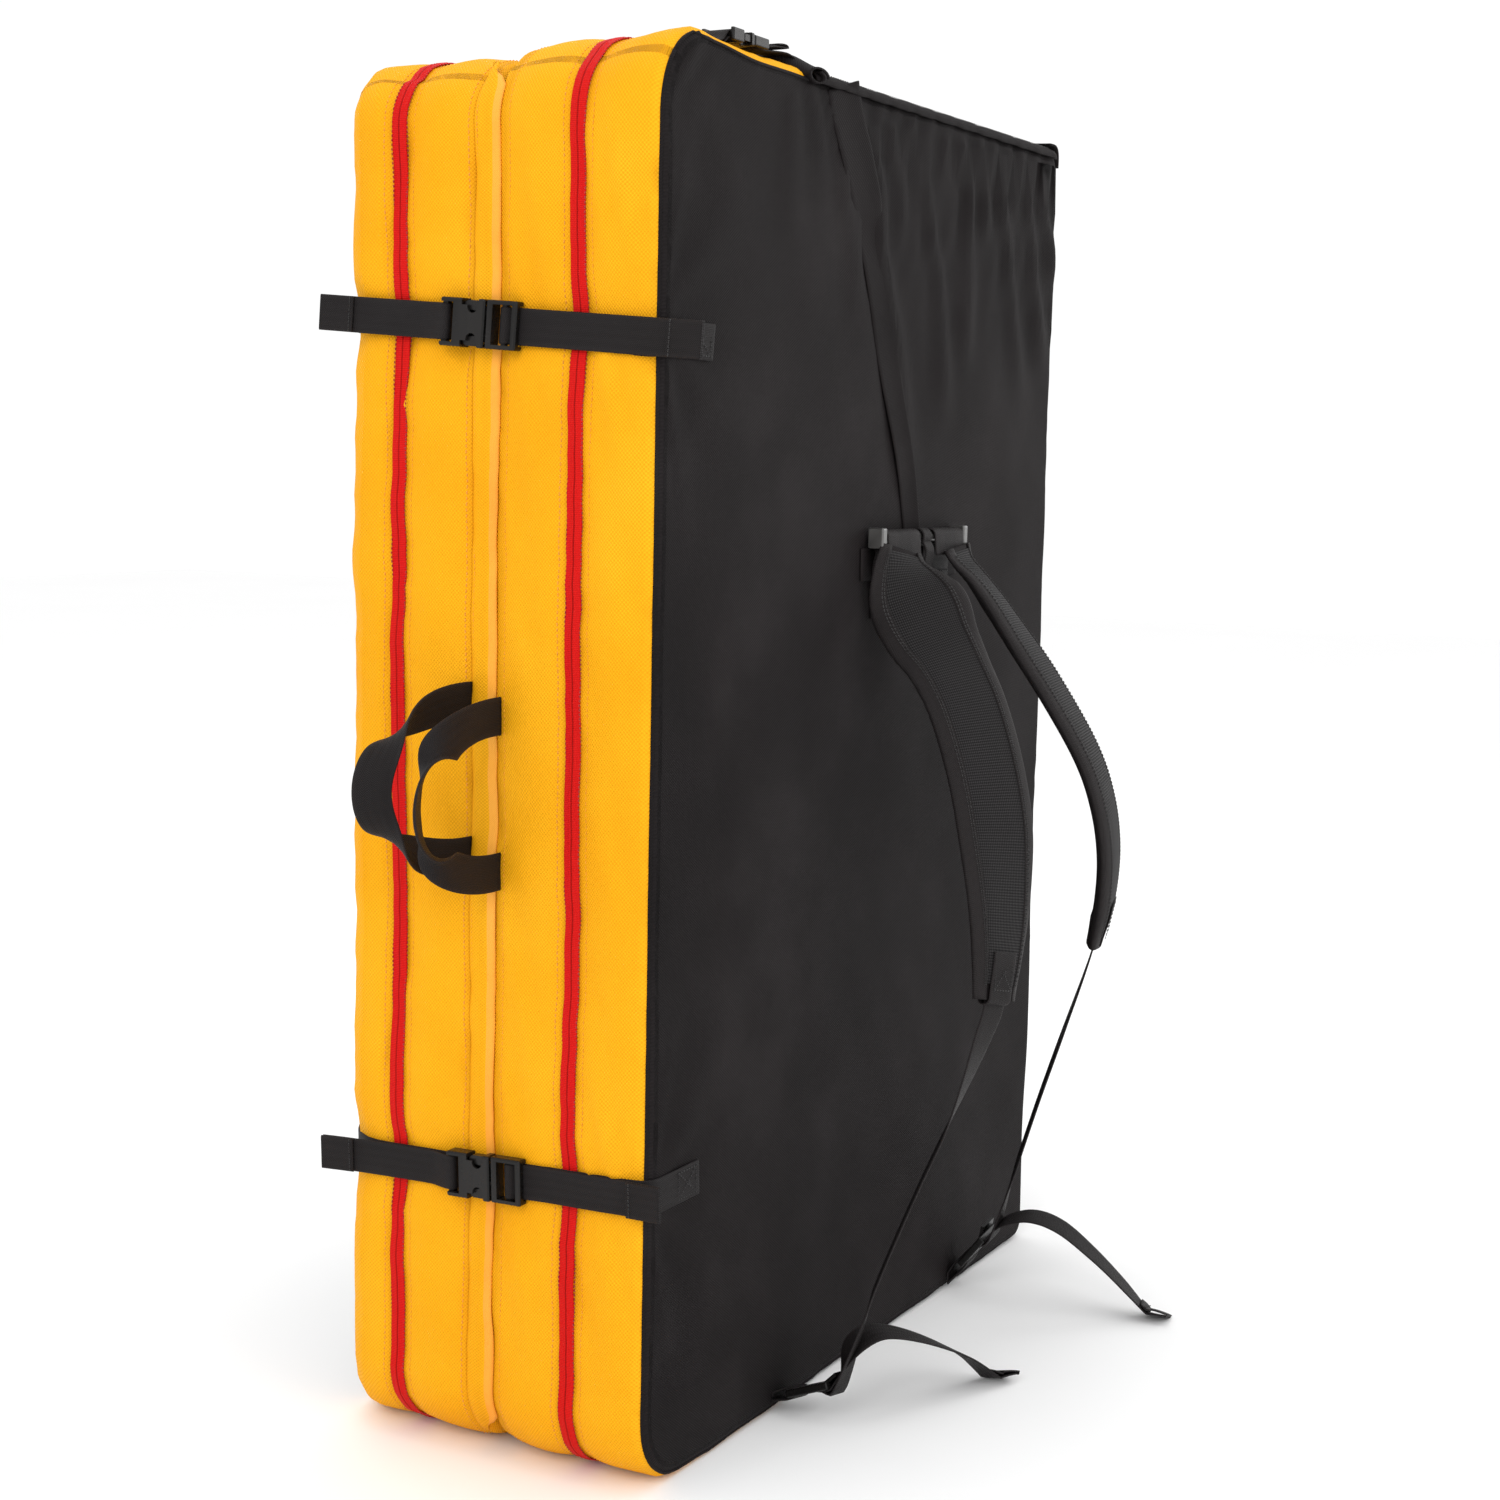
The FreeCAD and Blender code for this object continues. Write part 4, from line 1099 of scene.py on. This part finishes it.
def grab_handle(name, body, y, z_mid, lean_deg, apex_across):
    # Half an oval. The band leaves its seam upright and is turned flat at the hand.
    lean = math.radians(lean_deg)
    out_dir, up = arr(-math.cos(lean), math.sin(lean), 0), arr(0, 0, 1)
    start = arr(OPEN_X + 1.0, y, z_mid)
    a = np.linspace(0, math.pi, 90)
    height = 54.5 * np.cos(a) + 1.5 * np.sin(2 * a)
    path = start + out_dir * (101.0 * np.sin(a) ** 0.97)[:, None] + up * height[:, None]
    turn = np.where(a < math.pi / 2, smooth(0.1, 1.5, a) * math.pi / 2,
                    math.pi - smooth(0.1, 1.5, math.pi - a) * math.pi / 2)
    side = np.cos(turn)[:, None] * up + np.sin(turn)[:, None] * unit(arr(*apex_across))
    obj = sweep(name + "_band", path, side, webbing_section(27.0, 2.0), WEBBING)
    place(obj, body, "webbing", name)


grab_handle("carry_handle", "carry_grab_handle", FOLD_Y - 12.5, 487.0, -2.0, (0.87, 0.49, 0))
grab_handle("plain_handle", "plain_grab_handle", FOLD_Y + 13.0, 496.0, 5.0, (0.49, -0.87, 0))


# ---- shoulder straps -------------------------------------------------------------------------------
ROOT_Z, FOOT_Z, LOCK_LONG = 655.0, 10.0, 36.0
BIND_FROM = 0.66                       # share of the half width where the binding starts
EDGE_POWER = 0.55                      # how square the padding's edges are
STRAP_WEB = webbing_section(WEB, 1.6)


def pad_section(a):
    # Padded strap's cross-section at angle a: width and thickness, each -1 to 1, thin at the edges.
    x = np.sign(np.cos(a)) * np.abs(np.cos(a)) ** EDGE_POWER
    y = np.sin(a) * (0.42 + 0.58 * np.sqrt(np.maximum(1 - np.abs(x) ** 3.2, 0)))
    return x, y


def along_table(run_mm, table):
    # Smooth interpolation of a table of (distance, values...) rows.
    t = np.array(table, float)
    rows = interp_rows(run_mm, t[:, 0], t[:, 1:])
    return np.stack([blurred(column, np.hanning(15)) for column in rows.T], 1)


def shell(name, centre, side, normal, half, thick, angles, run_mm, material, proud):
    # A strip of the padded strap's skin between two angles of its cross-section, raised off it.
    x, y = pad_section(angles)
    lift = unit(np.stack([np.gradient(y * 6.0), -np.gradient(x * 33.0)], 1)) * proud
    if (lift[:, 1] * np.sin(angles)).sum() + (lift[:, 0] * np.cos(angles)).sum() < 0:
        lift = -lift
    verts = (centre[:, None] + side[:, None] * (x[None, :, None] * half[:, None, None] + lift[None, :, :1])
             + normal[:, None] * (y[None, :, None] * thick[:, None, None] + lift[None, :, 1:]))
    k, w = verts.shape[:2]
    uv = np.stack([half[:, None] * x[None], np.repeat(run_mm[:, None], w, 1)], 2)
    obj = make(name, verts.reshape(-1, 3), grid_faces(k, w), material, uv.reshape(-1, 2))
    modifier(obj, "SOLIDIFY", thickness=1.1 * MM, offset=0.0)
    return obj


def shoulder_strap(name, root_x, foot_x, centre_path, side_table, half_table, run, end, lock_top, tail_dir,
                   tail_path):
    # Paths are in (distance down from the root, height off the face); the tables give the width's
    # direction and the half width along the padding; the tail's path is (distance, height).
    root, foot = arr(root_x, CARRY_Y, ROOT_Z), arr(foot_x, CARRY_Y, FOOT_Z)
    down = unit(foot - root)
    out = arr(0, -1, 0)
    across = np.cross(down, out)
    body = name + "_shoulder_strap"

    def put(s, h):
        return root + down * s + out * h

    # Padded part: from the anchor bar down, swelling to its full width and tapering at its end.
    centre = curve_points([put(*q) for q in centre_path], 4.0)
    run_mm = run_length(centre)
    total = run_mm[-1]
    half = along_table(run_mm, half_table)[:, 0]
    thick = 2.4 + 4.0 * smooth(4, 60, run_mm) * (1 - 0.6 * smooth(total - 34, total, run_mm))
    along = tangents(centre)
    side = unit(along_table(run_mm, side_table))
    normal = unit(np.cross(along, side))
    normal *= np.sign((normal @ out).mean())
    side = unit(np.cross(along, normal)) * np.sign((np.cross(along, normal) * side).sum(1))[:, None]
    n = len(centre)
    turn = np.linspace(0, TAU, 33)[:-1]
    px, py = pad_section(turn)
    rough = 0.35 * waves(np.stack([run_mm, run_mm * 0], 1), 46.0, 71)
    verts = (centre[:, None] + side[:, None] * (px[None, :, None] * half[:, None, None])
             + normal[:, None] * (py[None, :, None] * (thick + rough)[:, None, None]))
    m = len(turn)
    uv = np.stack([half[:, None] * px[None], np.repeat(run_mm[:, None], m, 1)], 2)
    pad_obj = make(name + "_strap_pad", verts.reshape(-1, 3), tube_faces(n, m), BLACK, uv.reshape(-1, 2))
    # Bodies and two points near the strap's root, handed on to place_across.
    root_blend = (body, "carry_half", *(centre[np.argmin(np.abs(run_mm - at))] for at in (120.0, 30.0)))
    place_across(pad_obj, "strap_mesh", *root_blend, name + "_strap_foam", name + "_strap_lining",
                 name + "_strap_cover")

    # Mesh face between the bound edges, and the bindings folded over the edges.
    edge_a = math.acos(BIND_FROM ** (1 / EDGE_POWER))
    keep = slice(1, n - 3)
    face_a = np.linspace(edge_a - 0.06, math.pi - edge_a + 0.06, 15)
    mesh_obj = shell(name + "_strap_mesh_face", centre[keep], side[keep], normal[keep], half[keep], thick[keep],
                     face_a, run_mm[keep], MESH, 0.5)
    place_across(mesh_obj, "strap_mesh", *root_blend)
    tapes, rows = [], []
    for start in (0.0, math.pi):
        tape_a = start + np.linspace(-edge_a, edge_a, 13)
        tape = shell("b", centre, side, normal, half, thick, tape_a, run_mm, WEBBING, 1.1)
        settle(tape)
        tapes.append(tape)
        x, y = pad_section(np.array([start + (edge_a - 0.09) * (1 if start == 0.0 else -1)]))
        for lean in (0.0, 0.055):
            at = (abs(x[0]) + lean) * np.sign(x[0])
            height = y[0] * thick * (1 - 1.2 * lean) + 1.9
            line = centre + side * (at * half)[:, None] + normal * height[:, None]
            rows.append(stitches("s", line[2:-3], normal[2:-3], BLACK_YARN, *BOX_STITCH))
    place_across(join(name + "_strap_binding", tapes), "webbing", *root_blend)
    place_across(join(name + "_strap_stitches", rows), "webbing", *root_blend)

    # End patch: webbing folded over the pad's end, with a stitched box.
    tip = np.arange(n - 10, n)
    skin = normal * (thick * 0.92 + 1.9)[:, None]
    nose = [centre[-1] + along[-1] * 3.2 + normal[-1] * 2.4, centre[-1] + along[-1] * 3.6 - normal[-1] * 2.2]
    under = tip[::-1][:7]
    path = soft_path(np.vstack([(centre + skin)[tip], nose, (centre - skin)[under]]), 1, 2.4)
    patch = sweep(name + "_strap_end_patch", path, side[-1], webbing_section(27.0, 1.8), WEBBING)
    place(patch, body, "webbing")
    mid = tip[4]
    sewn = box_stitch(name + "_strap_end_stitch", centre[mid] + normal[mid] * (thick[mid] * 0.92 + 3.0),
                      side[mid], along[mid], 20.0, 25.0, normal[mid])
    place(sewn, body, "webbing")

    # Adjuster webbing down to the ladder lock, hanging with a slack twist that shows its edge.
    top = put(*lock_top)
    pull = unit(top - foot)
    face_n = np.cross(across, pull)
    if face_n @ out < 0:
        face_n = -face_n
    start = [centre[-1] - along[-1] * 12.0, centre[-1] + along[-1] * 7.0]
    mid_path = [put(s, h + 6.0) for s, h in run[1:]] + [put(s, h + 6.0) for s, h in end[1:-1]]
    bar1 = top - pull * 10.5
    finish_path = [top + pull * 2.0 + face_n * 4.4, bar1 + pull * 4.5 + face_n * 3.6, bar1 + face_n * 3.2,
                   bar1 - pull * 1.8 - face_n * 1.0]
    path = curve_points(np.array(start + mid_path + finish_path), 4.0)
    t = np.linspace(0, 1, len(path))
    first_side = side[-1] * np.sign(side[-1] @ across)
    edge_on = arr(-0.90, -0.42, 0.12)
    turned = interp_rows(t, [0.0, 0.08, 0.34, 0.74, 0.95, 1.0],
                         [first_side, first_side, edge_on, edge_on, across, across])
    turned = unit(np.stack([blurred(column, np.hanning(13)) for column in turned.T], 1))
    adjuster = sweep(name + "_adjuster_strap", path, turned, STRAP_WEB, WEBBING)
    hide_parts(name + "_adjuster")
    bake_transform(adjuster)

    # Loose tail: out of the lock, up over the thumb tab, then down to the ground, its end folded.
    flat_dir = unit(arr(tail_dir[0], tail_dir[1], 0))
    sideways = arr(-flat_dir[1], flat_dir[0], 0)
    origin = arr(top[0], top[1], 0) + flat_dir * 3.0
    inner = [bar1 - pull * 2.0 - face_n * 0.4, bar1 + pull * 3.6 + face_n * 1.6,
             top - pull * 1.0 + face_n * 2.4]
    loose = [origin + flat_dir * u + arr(0, 0, v + 1.0) for u, v in tail_path[1:]]
    loose[-1] = loose[-1] + arr(0, 0, -2.4)
    path = curve_points(np.array(inner + loose), 3.0)
    tip_dir = unit(loose[-1] - loose[-2])
    path = np.vstack([path, loose[-1] + tip_dir * 7 + arr(0, 0, 2.6),
                      loose[-1] + tip_dir * 20 + arr(0, 0, 10.0)])
    path = soft_path(path, 1, 3.0)
    path[:, 2] = np.maximum(path[:, 2], 4.6)
    t = np.linspace(0, 1, len(path))
    blend_in = smooth(0.0, 0.28, t)[:, None]
    lean = (0.16 * np.sin(t * 5.0) - 0.22 * smooth(0.75, 1.0, t))[:, None] * arr(0, 0, 1)
    side_t = unit(across * np.sign(across @ sideways) * (1 - blend_in) + sideways * blend_in + lean)
    tail = sweep(name + "_tail_strap", path, side_t, STRAP_WEB, WEBBING)
    place(tail, "carry_half", "webbing", name + "_tail")
    # Its end folded back and stitched: a soft hairpin on top.
    back = 10
    up_t = unit(np.cross(tangents(path), side_t))
    up_t *= np.sign(up_t[:, 2:3])
    tip_run, tip_up, tip_side = path[-back:], up_t[-back:], side_t[-back:]
    swell = np.sin(np.linspace(0.1, math.pi, back))[:, None]
    fold = tip_run + tip_up * (1.7 + 2.0 * swell)
    ahead = unit(tip_run[-1] - tip_run[-2])
    hairpin = np.vstack([fold, tip_run[-1] + ahead * 2.4 + tip_up[-1] * 1.3,
                         tip_run[-1] + ahead * 1.0 - tip_up[-1] * 0.9])
    fold_side = np.vstack([tip_side, tip_side[-1:], tip_side[-1:]])
    place(sweep(name + "_tail_fold", hairpin, fold_side, STRAP_WEB, WEBBING), "carry_half", "webbing")
    row = cross_row(name + "_tail_stitch", fold[2] + tip_up[2] * 1.0, tip_side[2], 10.5, tip_up[2])
    place(row, "carry_half", "webbing")

    # Loop that holds the ladder lock at the bottom edge.
    lock_start = top - pull * LOCK_LONG
    reach = (lock_start - foot) @ pull + 4.5
    ring = [(-4, -2.2), (reach * 0.5, -4.2), (reach - 3, -4.0), (reach + 1.8, -2.6), (reach + 2.6, 0.0),
            (reach + 1.8, 2.6), (reach - 3, 4.0), (reach * 0.5, 4.0), (-4, 1.8)]
    path = soft_path([foot + pull * u + face_n * v for u, v in ring], 2, 1.8)
    path[:, 1] = np.minimum(path[:, 1], CARRY_Y - 0.6)
    path[:, 2] = np.maximum(path[:, 2], 1.6)
    loop_obj = sweep(name + "_loop_strap", path, across, STRAP_WEB, WEBBING)
    place(loop_obj, "carry_half", "webbing", name + "_lower_loop")


shoulder_strap(
    "right", -6.0, -145.0,
    [(1, 17), (13, 20), (30, 29), (48, 40), (68, 52), (90, 69), (119, 88), (158, 106), (199, 120), (240, 129),
     (283, 135), (338, 138)],
    [(0, -1, 0.02, 0), (18, -0.90, 0.26, -0.22), (46, -0.62, 0.48, -0.62), (105, -0.86, 0.39, -0.34),
     (240, -0.87, 0.38, -0.30), (290, -0.93, 0.30, -0.14), (340, -0.96, 0.24, 0.02), (400, -0.98, 0.17, 0.06)],
    [(0, 26), (14, 30), (34, 37), (56, 39), (110, 34), (250, 33.5), (300, 31), (345, 26), (385, 20.5)],
    [(341, 131), (367, 127), (397, 119), (436, 107), (489, 88), (560, 65)], [(562, 64.5), (590, 58), (617, 53)],
    (641, 47), (137, -77), [(0, 38), (9, 51), (26, 61), (47, 59), (81, 46), (118, 26), (146, 5)])
shoulder_strap(
    "left", 96.0, 175.0,
    [(1, 18), (13, 23), (30, 38), (65, 64), (113, 98), (165, 129), (205, 143), (245, 148), (285, 145), (323, 136)],
    [(0, -1, -0.02, 0), (22, -0.93, -0.34, -0.1), (60, -0.92, -0.36, -0.15), (110, -0.967, -0.235, -0.12),
     (330, -0.967, -0.225, -0.118), (400, -0.93, -0.33, -0.10)],
    [(0, 27), (14, 31), (40, 33), (250, 33), (300, 30), (340, 25), (380, 20)],
    [(326, 129), (358, 119), (405, 102), (475, 77), (550, 52)], [(552, 51.3), (568, 46.5), (583, 42.5)], (603, 36),
    (22, -150), [(0, 59), (10, 67), (34, 75), (60, 69), (88, 50), (114, 28), (140, 5)])


# ---- anchor bar, its webbing and the load strip ------------------------------------------------------
BAR_Y, BAR_Z = CARRY_Y - 9.0, 663.0


def surface_of(pad, x, z):
    # y of the strap face's cover at given x and z, from the nearest grid points.
    v = pad["verts"][:pad["grid_n"]]
    out = []
    for a, b in zip(x, z):
        d = (v[:, 0] - a) ** 2 + (v[:, 2] - b) ** 2
        near = np.argpartition(d, 4)[:4]
        w = 1.0 / (d[near] + 1.0)
        out.append((v[near, 1] * w).sum() / w.sum())
    return np.array(out)


def root_wraps():
    made = []
    for x, wide in ((3.0, 58.0), (87.0, 54.0)):
        # Once round the bar. One end is sewn into the pad, the other hangs down to the face.
        face = surface_of(pads["carry"], [x], [625.0])[0]
        front = [arr(x, CARRY_Y - 16.4, 648.0), arr(x, CARRY_Y - 15.4, 653.0), arr(x, CARRY_Y - 15.2, 658.0)]
        back = [arr(x, CARRY_Y - 4.4, 652.0), arr(x, face - 2.0, 640.0), arr(x, face - 1.6, 622.0),
                arr(x, face - 1.4, 600.0)]
        round_bar = [arr(x, BAR_Y + dy, BAR_Z + dz)
                     for dy, dz in ((-5.8, -1.0), (-4.8, 3.8), (-0.5, 6.0), (4.6, 4.0), (5.8, -0.6))]
        path = curve_points(np.array(front + round_bar + back), 1.8)
        made.append(sweep("w", path, arr(1, 0, 0), webbing_section(wide, 1.7), WEBBING))
        for z, y in ((606.0, face - 2.6), (634.0, face - 3.0)):
            line = np.array([arr(x + v, y, z) for v in np.linspace(-wide / 2 + 3, wide / 2 - 3, 18)])
            made.append(stitches("s", line, arr(0, -1, 0), BLACK_YARN, *WRAP_STITCH))
    place(join("strap_root_webbing", made), "carry_half", "webbing", "strap_root_wraps")
    # Webbing keeper between the two straps, round the bar's middle.
    a = np.linspace(-0.6, TAU - 1.0, 40)
    x = 45.0
    ring = np.stack([np.full(40, x), BAR_Y - np.sin(a) * 6.2, BAR_Z + np.cos(a) * 6.6], 1)
    tail = [(x, BAR_Y - 8.5, BAR_Z - 7.0), (x + 0.5, BAR_Y - 8.0, BAR_Z - 16.0),
            (x + 1.0, BAR_Y - 4.5, BAR_Z - 26.0)]
    path = soft_path(np.vstack([ring[::-1], tail]), 2, 1.8)
    place(sweep("bar_keeper_strap", path, arr(1, 0, 0), webbing_section(15.0, 1.8), WEBBING), "carry_half",
          "webbing")


def load_strip():
    pad = pads["carry"]
    z = np.linspace(996.0, 650.0, 120)
    x = np.interp(z, [650, 672, 731, 807, 880, 942, 996], [52, 45, 21, -9, -36, -64, -94])
    x = blurred(x, np.ones(25))
    path = np.stack([x, blurred(surface_of(pad, x, z) - 0.5, np.ones(9)), z], 1)
    wide = 1.0 + 0.85 * smooth(690, 985, z)
    # A flat fold of the cover: its far edge stands proud as a soft ridge.
    section = np.array([(-13, -0.2), (-12.6, 0.5), (-9, 0.55), (0, 0.8), (7, 1.6), (10.5, 2.6), (12.2, 2.7),
                        (13.2, 1.4), (13.0, -0.2), (0, -0.6)])
    strip = sweep("load_strip_fold", path, arr(1, 0, 0), section, BLACK, scale=wide)
    place(strip, "carry_half", "black_fabric", "load_strip")
    # The sewn patch below the anchor bar.
    grid_x, grid_z = np.linspace(-44, 133, 40), np.linspace(630, 655, 9)
    gx, gz = (g.ravel() for g in np.meshgrid(grid_x, grid_z, indexing="ij"))
    verts = np.stack([gx, surface_of(pad, gx, gz) - 0.8, gz], 1)
    quads = grid_faces(len(grid_x), len(grid_z), flip=True)
    patch = make("load_patch", verts, quads, BLACK, np.stack([gx, gz], 1))
    modifier(patch, "SOLIDIFY", thickness=0.8 * MM, offset=1.0)
    place(patch, "carry_half", "black_fabric")


root_wraps()
load_strip()


# ---- storage flap ------------------------------------------------------------------------------------
FLAP_X0, FLAP_Z = -136.0, HEIGHT + 10.0


def flap():
    # Side to side: a hem turned down over the strap face's edge, then flat over both halves.
    line = [(-69.3, 992.0), (-68.6, 995.4), (-66.4, 998.6), (-62.0, 1000.8), (-56.0, 1002.2), (-46.0, 1003.2),
            (-20.0, 1004.2), (30.0, 1004.6), (64.0, 1004.2), (74.0, 1003.0), (84.0, 1003.6), (130.0, 1004.2),
            (176.0, 1003.6), (190.0, 1002.6)]
    across = curve_points([(a, b, 0) for a, b in line], 4.0)[:, :2]
    xs = np.linspace(FLAP_X0 + 3.0, 322.0, 96)
    verts, uv = [], []
    for x in xs:
        rise = 4.0 * (1 - smooth(FLAP_X0, FLAP_X0 + 34, x))
        edge = 0.7 * math.sin(x * 0.16) + 0.5 * math.sin(x * 0.31 + 2.0)
        for (y, z), s in zip(across, run_length(across)):
            loose = smooth(-66, -40, y)
            ripple = 0.9 * math.sin(x * 0.071 + y * 0.02) + 0.7 * math.sin(x * 0.113 - y * 0.045 + 1.0)
            verts.append((x, y - 0.4 * (1 - loose) * edge, z + rise * loose + (ripple + 0.9) * loose * 0.8
                          - (1 - loose) * 0.5 * edge))
            uv.append((x, s))
    sheet = make("flap_sheet", verts, grid_faces(len(xs), len(across), flip=True), BLACK, uv)
    modifier(sheet, "SOLIDIFY", thickness=1.5 * MM, offset=-1.0)
    settle(sheet)
    place(sheet, "flap", "black_fabric", "storage_flap")

    # Front edge rolled up; its near end droops over the corner.
    y = np.linspace(188.0, -71.0, 90)
    droop = smooth(-40, -71, y)
    roll_path = np.stack([FLAP_X0 + 2.0 + 6.0 * droop + 0.8 * np.sin(y * 0.09), y, FLAP_Z - 2.0 - 12.5 * droop
                          + 0.8 * np.sin(y * 0.06 + 1.0)], 1)
    a = np.linspace(0.0, TAU * 1.2, 40)
    spiral, inner = ([(math.cos(t) * (r - 0.35 * t), math.sin(t) * (r - 0.35 * t)) for t in turns]
                     for r, turns in ((6.9, a), (5.6, a[::-1])))
    swell = 1.0 + 0.10 * np.sin(y * 0.12) + 0.12 * droop
    section = np.array(spiral + inner) * (2.3, 1.0) - (6.0, 0.0)
    roll = sweep("flap_front_roll", roll_path, arr(1, 0, 0), section, BLACK, scale=swell)
    place(roll, "flap", "black_fabric")
    lines = [(x, -60.0, 1001.7) for x in xs], [(FLAP_X0 + 16, yy, 1009.0) for yy in np.linspace(-50, 186, 60)]
    rows = [stitches("s", np.array(points), arr(0, 0, 1), BLACK_YARN, *FLAP_STITCH) for points in lines]
    hem = join("flap_stitches", rows)
    place(hem, "flap", "black_fabric")

    # The flap's fabric over the spine edge, sewn to the carry half's back.
    line = [(318.0, 1005.4), (326.0, 1005.6), (332.5, 1005.0), (336.8, 1002.4), (338.9, 998.0), (339.4, 992.0),
            (339.2, 986.0)]
    shape = curve_points([(x, z, 0) for x, z in line], 2.2)[:, :2]
    ys = np.linspace(-64.0, 64.0, 40)
    verts = [(x, yy, z + 0.4 * math.sin(yy * 0.12)) for yy in ys for x, z in shape]
    fold = make("flap_hinge_cloth", verts, grid_faces(len(ys), len(shape)), BLACK,
                [(yy, x + z) for yy in ys for x, z in shape])
    modifier(fold, "SOLIDIFY", thickness=1.3 * MM, offset=-1.0)
    place_across(fold, "black_fabric", "flap", "carry_half", (326, 0, 1005.6), (338, 0, 1001), "flap_root")


def flap_straps():
    scale, web = 0.8, webbing_section(20.0, 1.4)
    origin = arr(-238.0, CARRY_Y + 22.0, FLAP_Z)

    def put(t, n):
        return origin + arr(t, 0, n) * scale

    under = [(118.0, -3.0), (106, -0.6), (92, -1.4), (74, -3.4), (62, -4.6)]
    bar = [(54, -4.2), (50.0, -3.2), (48.6, -2.0), (48.6, 0.6), (49.4, 2.6), (53.4, 2.7)]
    over = [(58, -1.4), (66, -1.2), (84, 2.4), (104, 3.8)]
    path = soft_path([put(*q) for q in under + bar + over], 2, 1.6)
    strap = sweep("flap_buckle_strap", path, arr(0, 1, 0), web, WEBBING)
    place(strap, "flap", "webbing", "flap_strap")
    end = path[-1]
    tip = soft_path([end + arr(x, 0, z) for x, z in ((-13, 0.6), (-5, 1.9), (1.0, 1.4), (1.4, -0.2))], 2, 1.2)
    place(sweep("flap_buckle_strap_hem", tip, arr(0, 1, 0), web, WEBBING), "flap", "webbing")
    low = (HEIGHT + 1.2 - FLAP_Z) / scale
    sewn = [(-22, low), (-14, low), (-8, low * 0.8), (-1, -3.0), (3.4, -2.8), (4.9, -1.4), (4.9, 1.2), (3.2, 2.8),
            (-2, 2.2), (-9, low * 0.55), (-16, low + 2.4), (-22.5, low + 2.2)]
    anchor = sweep("flap_anchor_strap", soft_path([put(*q) for q in sewn], 2, 1.4), arr(0, 1, 0), web, WEBBING)
    place(anchor, "carry_half", "webbing", "flap_anchor_webbing")
    sewn = box_stitch("flap_anchor_stitch", put(-18.5, low + 3.8), (0, 1, 0), (1, 0, 0), 15.0, 5.0, (0, 0, 1))
    place(sewn, "carry_half", "webbing")


flap()
flap_straps()


# ---- finish for the hard parts that stay as they are ------------------------------------------------
for node_name, hard in nodes.items():
    if hard.hide_render:
        continue
    finish = METAL if "slider" in node_name or node_name == "anchor_bar" else PLASTIC
    for slot in hard.material_slots:
        slot.material = finish


# ---- floor and light ---------------------------------------------------------------------------

def floor_material():
    mat, tree = shader("floor", 0.85, 0.0, 0.2)
    patches = ramp(tree, position_noise(tree, 1.5, 3.0), [(0.3, (0.955,) * 3), (0.7, (0.965,) * 3)])
    tree.links.new(patches, tree.nodes["Principled BSDF"].inputs["Base Color"])
    return mat


floor = make("floor", [(-9000, -9000, -0.2), (9000, -9000, -0.2), (9000, 9000, -0.2), (-9000, 9000, -0.2)],
             [(0, 1, 2, 3)], floor_material(), [(0, 0)] * 4)

world = bpy.data.worlds.new("studio")
bpy.context.scene.world = world
world.use_nodes = True
world.node_tree.nodes["Background"].inputs["Color"].default_value = (1.0, 1.0, 1.0, 1.0)
world.node_tree.nodes["Background"].inputs["Strength"].default_value = 1.03


def softbox(name, at, target, size, watts):
    data = bpy.data.lights.new(name, "AREA")
    data.shape = "RECTANGLE"
    data.size, data.size_y = size
    data.energy = watts
    lamp = bpy.data.objects.new(name, data)
    bpy.context.scene.collection.objects.link(lamp)
    lamp.location = at
    lamp.rotation_euler = (Vector(target) - Vector(at)).to_track_quat("-Z", "Y").to_euler()
    return lamp


softbox("key", (-3.6, -0.6, 2.6), (-0.1, 0.05, 0.55), (1.8, 2.2), 42.0)
softbox("fill", (-0.8, -3.6, 1.8), (0.0, 0.0, 0.5), (2.4, 2.2), 22.0)
softbox("top", (0.2, 0.4, 3.6), (0.0, 0.0, 0.5), (2.2, 2.2), 22.0)
softbox("rim", (3.2, -1.4, 1.6), (0.1, 0.0, 0.6), (1.2, 2.0), 16.0)
